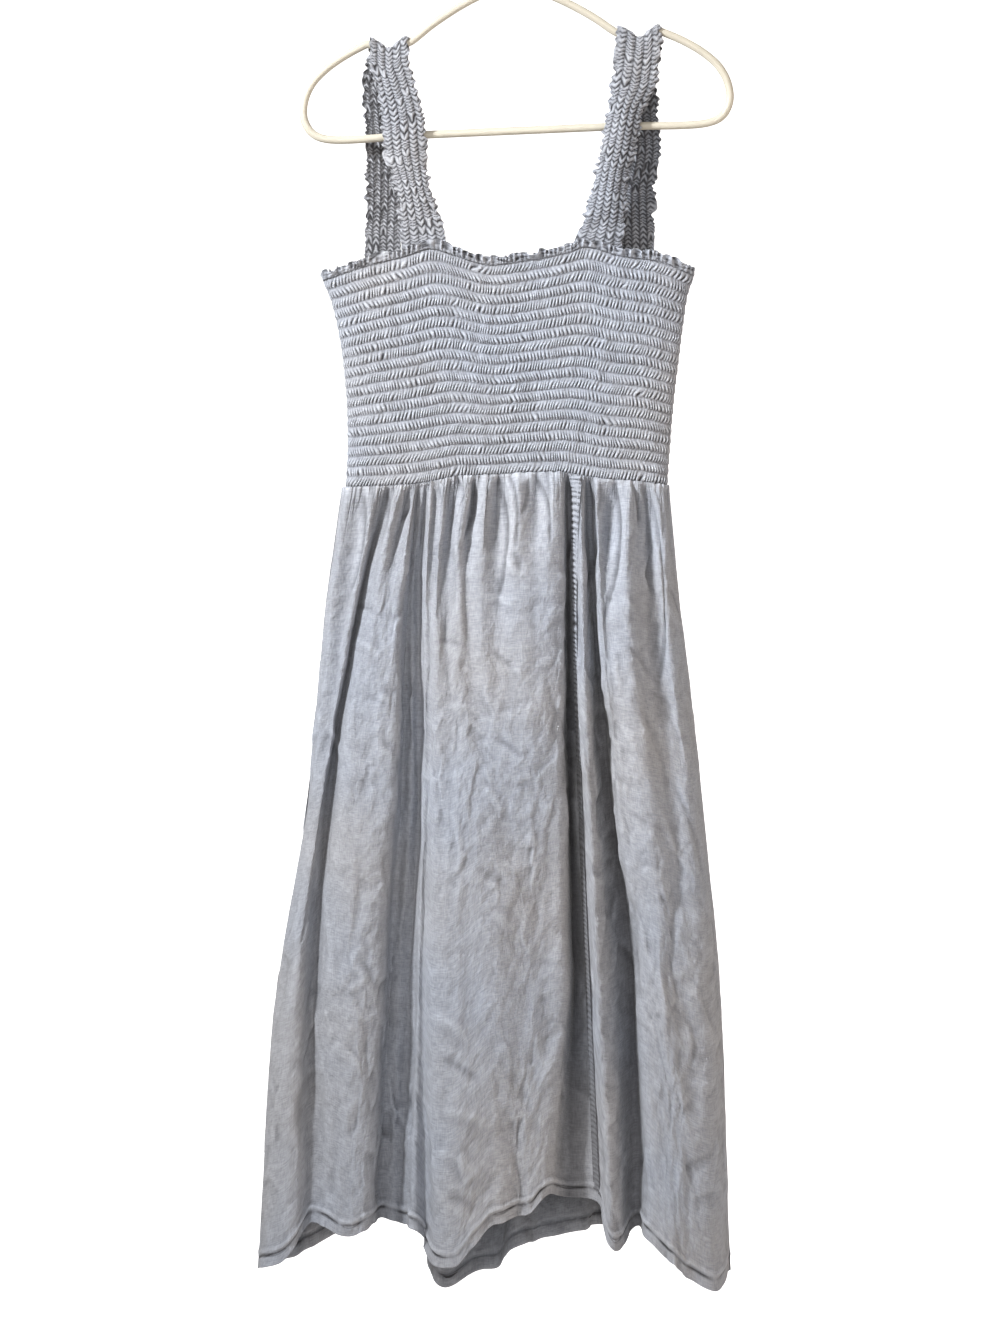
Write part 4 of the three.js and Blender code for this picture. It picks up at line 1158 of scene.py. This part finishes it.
class DressColours(bpy.types.PropertyGroup):
    """Colours of the cloth and the hanger, and of the cloth's painted shade and highlight."""

    cool: colour_setting("Cool cloth", "The cloth's blue-grey", (0.36, 0.385, 0.44))
    warm: colour_setting("Warm cloth", "The cloth's warmer grey", (0.385, 0.39, 0.415))
    thread_shade: colour_setting("Thread shade", "Between the threads", (0.7, 0.7, 0.71))
    thread_light: colour_setting("Thread light", "On the thick threads", (1.0, 1.0, 1.0))
    # Painted shade deep between puckers and in the cloth's folds.
    painted_shade: colour_setting("Hollow", "Deep between two puckers", (0.17, 0.165, 0.165))
    # Painted shade in the fine gathers under the waist seam.
    drawn: colour_setting("Drawn", "In the fine gathers under the waist seam", (0.5, 0.5, 0.5))
    # Painted highlight on the tops of puckers and creases, where the light falls, rather than wear.
    crest: colour_setting("Crest", "Paler wear on the tops of creases", (1.55, 1.55, 1.53))
    hanger: colour_setting("Hanger", "The hanger's cream plastic", (0.57, 0.53, 0.44))


def sizes_of(scene):
    """The scene's cloth sizes, with the lengths in millimetres."""
    sizes = SimpleNamespace()
    for key, setting in scene.dress_sizes.bl_rna.properties.items():
        if setting.type == "FLOAT":
            in_metres = setting.unit == "LENGTH"
            setattr(sizes, key, getattr(scene.dress_sizes, key) / (MM if in_metres else 1))
    return sizes


class DRESS_OT_bodice(bpy.types.Operator):
    """Makes the smocked front and back of the bodice"""

    bl_idname = "dress.bodice"
    bl_label = "Bodice"

    def execute(self, context):
        sizes = sizes_of(context.scene)
        for name, side, seed in (("bodice_front", -1, 11), ("bodice_back", 1, 211)):
            finish_cloth(make_bodice(name + "_cloth", side, sizes, seed), name)
        return {"FINISHED"}


class DRESS_OT_headings(bpy.types.Operator):
    """Makes the small frills above the first elastic row"""

    bl_idname = "dress.headings"
    bl_label = "Headings"

    def execute(self, context):
        sizes = sizes_of(context.scene)
        for name, side, seed in (("heading_front", -1, 31), ("heading_back", 1, 231)):
            finish_cloth(make_heading(name + "_frill", side, sizes, seed), name)
        return {"FINISHED"}


class DRESS_OT_straps(bpy.types.Operator):
    """Makes the two shirred straps"""

    bl_idname = "dress.straps"
    bl_label = "Straps"

    def execute(self, context):
        sizes = sizes_of(context.scene)
        for name, seed in (("strap_left", 51), ("strap_right", 251)):
            finish_cloth(make_strap(name + "_band", STRAPS[name], sizes, seed), name)
        return {"FINISHED"}


class DRESS_OT_skirt(bpy.types.Operator):
    """Makes the panels of the gathered skirt"""

    bl_idname = "dress.skirt"
    bl_label = "Skirt"

    def execute(self, context):
        sizes = sizes_of(context.scene)
        last = len(SKIRT_FRONT) - 1
        around = len(SKIRT_FRONT) + len(SKIRT_BACK)
        # Each panel's node, fold lines, faces across and down, creases, seed and flat cut.
        panels = (
            ("skirt_front_left", 0, PANEL_SEAM, 316, 288, FRONT_CREASES, 71, (0.5, 0.78)),
            ("skirt_front_right", PANEL_SEAM, last, 136, 284, FRONT_CREASES, 171, (0.28, 0.78)),
            ("skirt_back", last, around, 236, 258, BACK_CREASES, 271, (0.8, 0.78)),
        )
        for name, first, end, columns, rows, creases, seed, flat in panels:
            piece = make_skirt_panel(name + "_cloth", first, end, columns, rows, creases, sizes, seed)
            finish_cloth(piece, name)
        finish_cloth(make_seam_strip("panel_seam_strip", sizes, 371))
        return {"FINISHED"}


class DRESS_OT_hanger(bpy.types.Operator):
    """Makes the tubular hanger"""

    bl_idname = "dress.hanger"
    bl_label = "Hanger"

    def execute(self, context):
        piece = make_hanger_piece()
        piece.data.materials.append(hanger_material(context.scene.dress_colours))
        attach(piece, BODY)
        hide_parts("hanger")
        return {"FINISHED"}


class DRESS_OT_stage(bpy.types.Operator):
    """Makes the pale floor and backdrop, the soft lights and the camera"""

    bl_idname = "dress.stage"
    bl_label = "Stage"

    def execute(self, context):
        make_stage(context.scene)
        return {"FINISHED"}


FLOOR_HEIGHT = -2.45
FLOOR_LENGTH = 16.0
BACKDROP_DISTANCE = 8.9
BACKDROP_HEIGHT = 8.0
STAGE_WIDTH = 9.0
PICTURE_WIDTH = 1.0
PICTURE_MIDDLE = (-0.008, -0.7605)
CAMERA_DISTANCE = 6.0
SENSOR_WIDTH = 36.0
KEY_SPREAD = math.radians(36)
BACKDROP_GLOW = 1.05
PAPER_COLOUR = (0.93, 0.93, 0.93, 1)
ROOM_COLOUR = (1.0, 0.955, 0.91, 1)
ROOM_STRENGTH = 0.38


def make_stage(scene):
    """A pale floor, a glowing white backdrop far behind, soft lights and the camera."""
    papers = []
    sheets = (("studio_floor", FLOOR_LENGTH, 0), ("studio_backdrop", BACKDROP_HEIGHT, BACKDROP_GLOW))
    for name, length, glow in sheets:
        bm = bmesh.new()
        bmesh.ops.create_grid(bm, x_segments=1, y_segments=1, size=0.5)
        bmesh.ops.scale(bm, verts=bm.verts, vec=(STAGE_WIDTH, length, 1))
        piece = linked_object(name, bm)
        bench = NodeBench(name + " paper")
        bench.feed(bench.shader, {
            "Base Color": PAPER_COLOUR,
            "Roughness": 0.95,
            "Emission Color": (1, 1, 1, 1),
            "Emission Strength": glow,
        })
        piece.data.materials.append(bench.material)
        papers.append(piece)
    floor, backdrop = papers
    floor.location = (0, BACKDROP_DISTANCE - FLOOR_LENGTH / 2, FLOOR_HEIGHT)
    backdrop.location = (0, BACKDROP_DISTANCE, FLOOR_HEIGHT + BACKDROP_HEIGHT / 2)
    backdrop.rotation_euler = (math.pi / 2, 0, 0)

    front = (0, 0, -0.75)
    # Each light's name, place, target, size, power, colour and spread.
    lights = (
        ("key", (-2.8, -2.05, 1.45), (0.05, 0, -0.45), 0.5, 11.2, (0.96, 0.98, 1.0), KEY_SPREAD),
        ("fill", (-0.2, -3.5, 0.1), front, 2.4, 39, (1.0, 0.98, 0.965), math.pi),
        ("room", (3.0, -1.2, -0.7), front, 1.6, 27, (1.0, 0.82, 0.66), math.pi),
    )
    for name, place, target, size, power, colour, spread in lights:
        light = bpy.data.lights.new(name, "AREA")
        light.size = size
        light.energy = power
        light.color = colour
        light.spread = spread
        lamp = bpy.data.objects.new(name, light)
        lamp.location = place
        lamp.rotation_euler = (Vector(target) - Vector(place)).to_track_quat("-Z", "Y").to_euler()
        scene.collection.objects.link(lamp)
    world = bpy.data.worlds.new("soft room")
    world.use_nodes = True
    world.node_tree.nodes["Background"].inputs["Color"].default_value = ROOM_COLOUR
    world.node_tree.nodes["Background"].inputs["Strength"].default_value = ROOM_STRENGTH
    scene.world = world

    camera = bpy.data.cameras.new("camera")
    camera.sensor_fit = "HORIZONTAL"
    camera.sensor_width = SENSOR_WIDTH
    camera.lens = SENSOR_WIDTH * CAMERA_DISTANCE / PICTURE_WIDTH
    viewer = bpy.data.objects.new("camera", camera)
    viewer.location = (PICTURE_MIDDLE[0], -CAMERA_DISTANCE, PICTURE_MIDDLE[1])
    viewer.rotation_euler = (math.pi / 2, 0, 0)
    scene.collection.objects.link(viewer)
    scene.camera = viewer
    scene.view_settings.view_transform = "Standard"


class DRESS_PT_pieces(bpy.types.Panel):
    """Lists the dress's pieces and their sizes"""

    bl_idname = "DRESS_PT_pieces"
    bl_label = "Smocked dress"
    bl_space_type = "VIEW_3D"
    bl_region_type = "UI"
    bl_category = "Dress"

    def draw(self, context):
        for name in PIECE_OPERATORS:
            self.layout.operator(name)
        for settings in (context.scene.dress_sizes, context.scene.dress_colours):
            for key in settings.bl_rna.properties.keys():
                if key not in ("rna_type", "name"):
                    self.layout.prop(settings, key)


PIECE_OPERATORS = (
    "dress.bodice",
    "dress.headings",
    "dress.straps",
    "dress.skirt",
    "dress.hanger",
    "dress.stage",
)
CLASSES = (
    DressSizes,
    DressColours,
    DRESS_OT_bodice,
    DRESS_OT_headings,
    DRESS_OT_straps,
    DRESS_OT_skirt,
    DRESS_OT_hanger,
    DRESS_OT_stage,
    DRESS_PT_pieces,
)


def register():
    for cls in CLASSES:
        bpy.utils.register_class(cls)
    bpy.types.Scene.dress_sizes = bpy.props.PointerProperty(type=DressSizes)
    bpy.types.Scene.dress_colours = bpy.props.PointerProperty(type=DressColours)


def unregister():
    del bpy.types.Scene.dress_colours
    del bpy.types.Scene.dress_sizes
    for cls in reversed(CLASSES):
        bpy.utils.unregister_class(cls)


def main():
    register()
    bpy.ops.dress.bodice()
    bpy.ops.dress.headings()
    bpy.ops.dress.straps()
    bpy.ops.dress.skirt()
    bpy.ops.dress.hanger()
    bpy.ops.dress.stage()


if __name__ == "__main__":
    main()
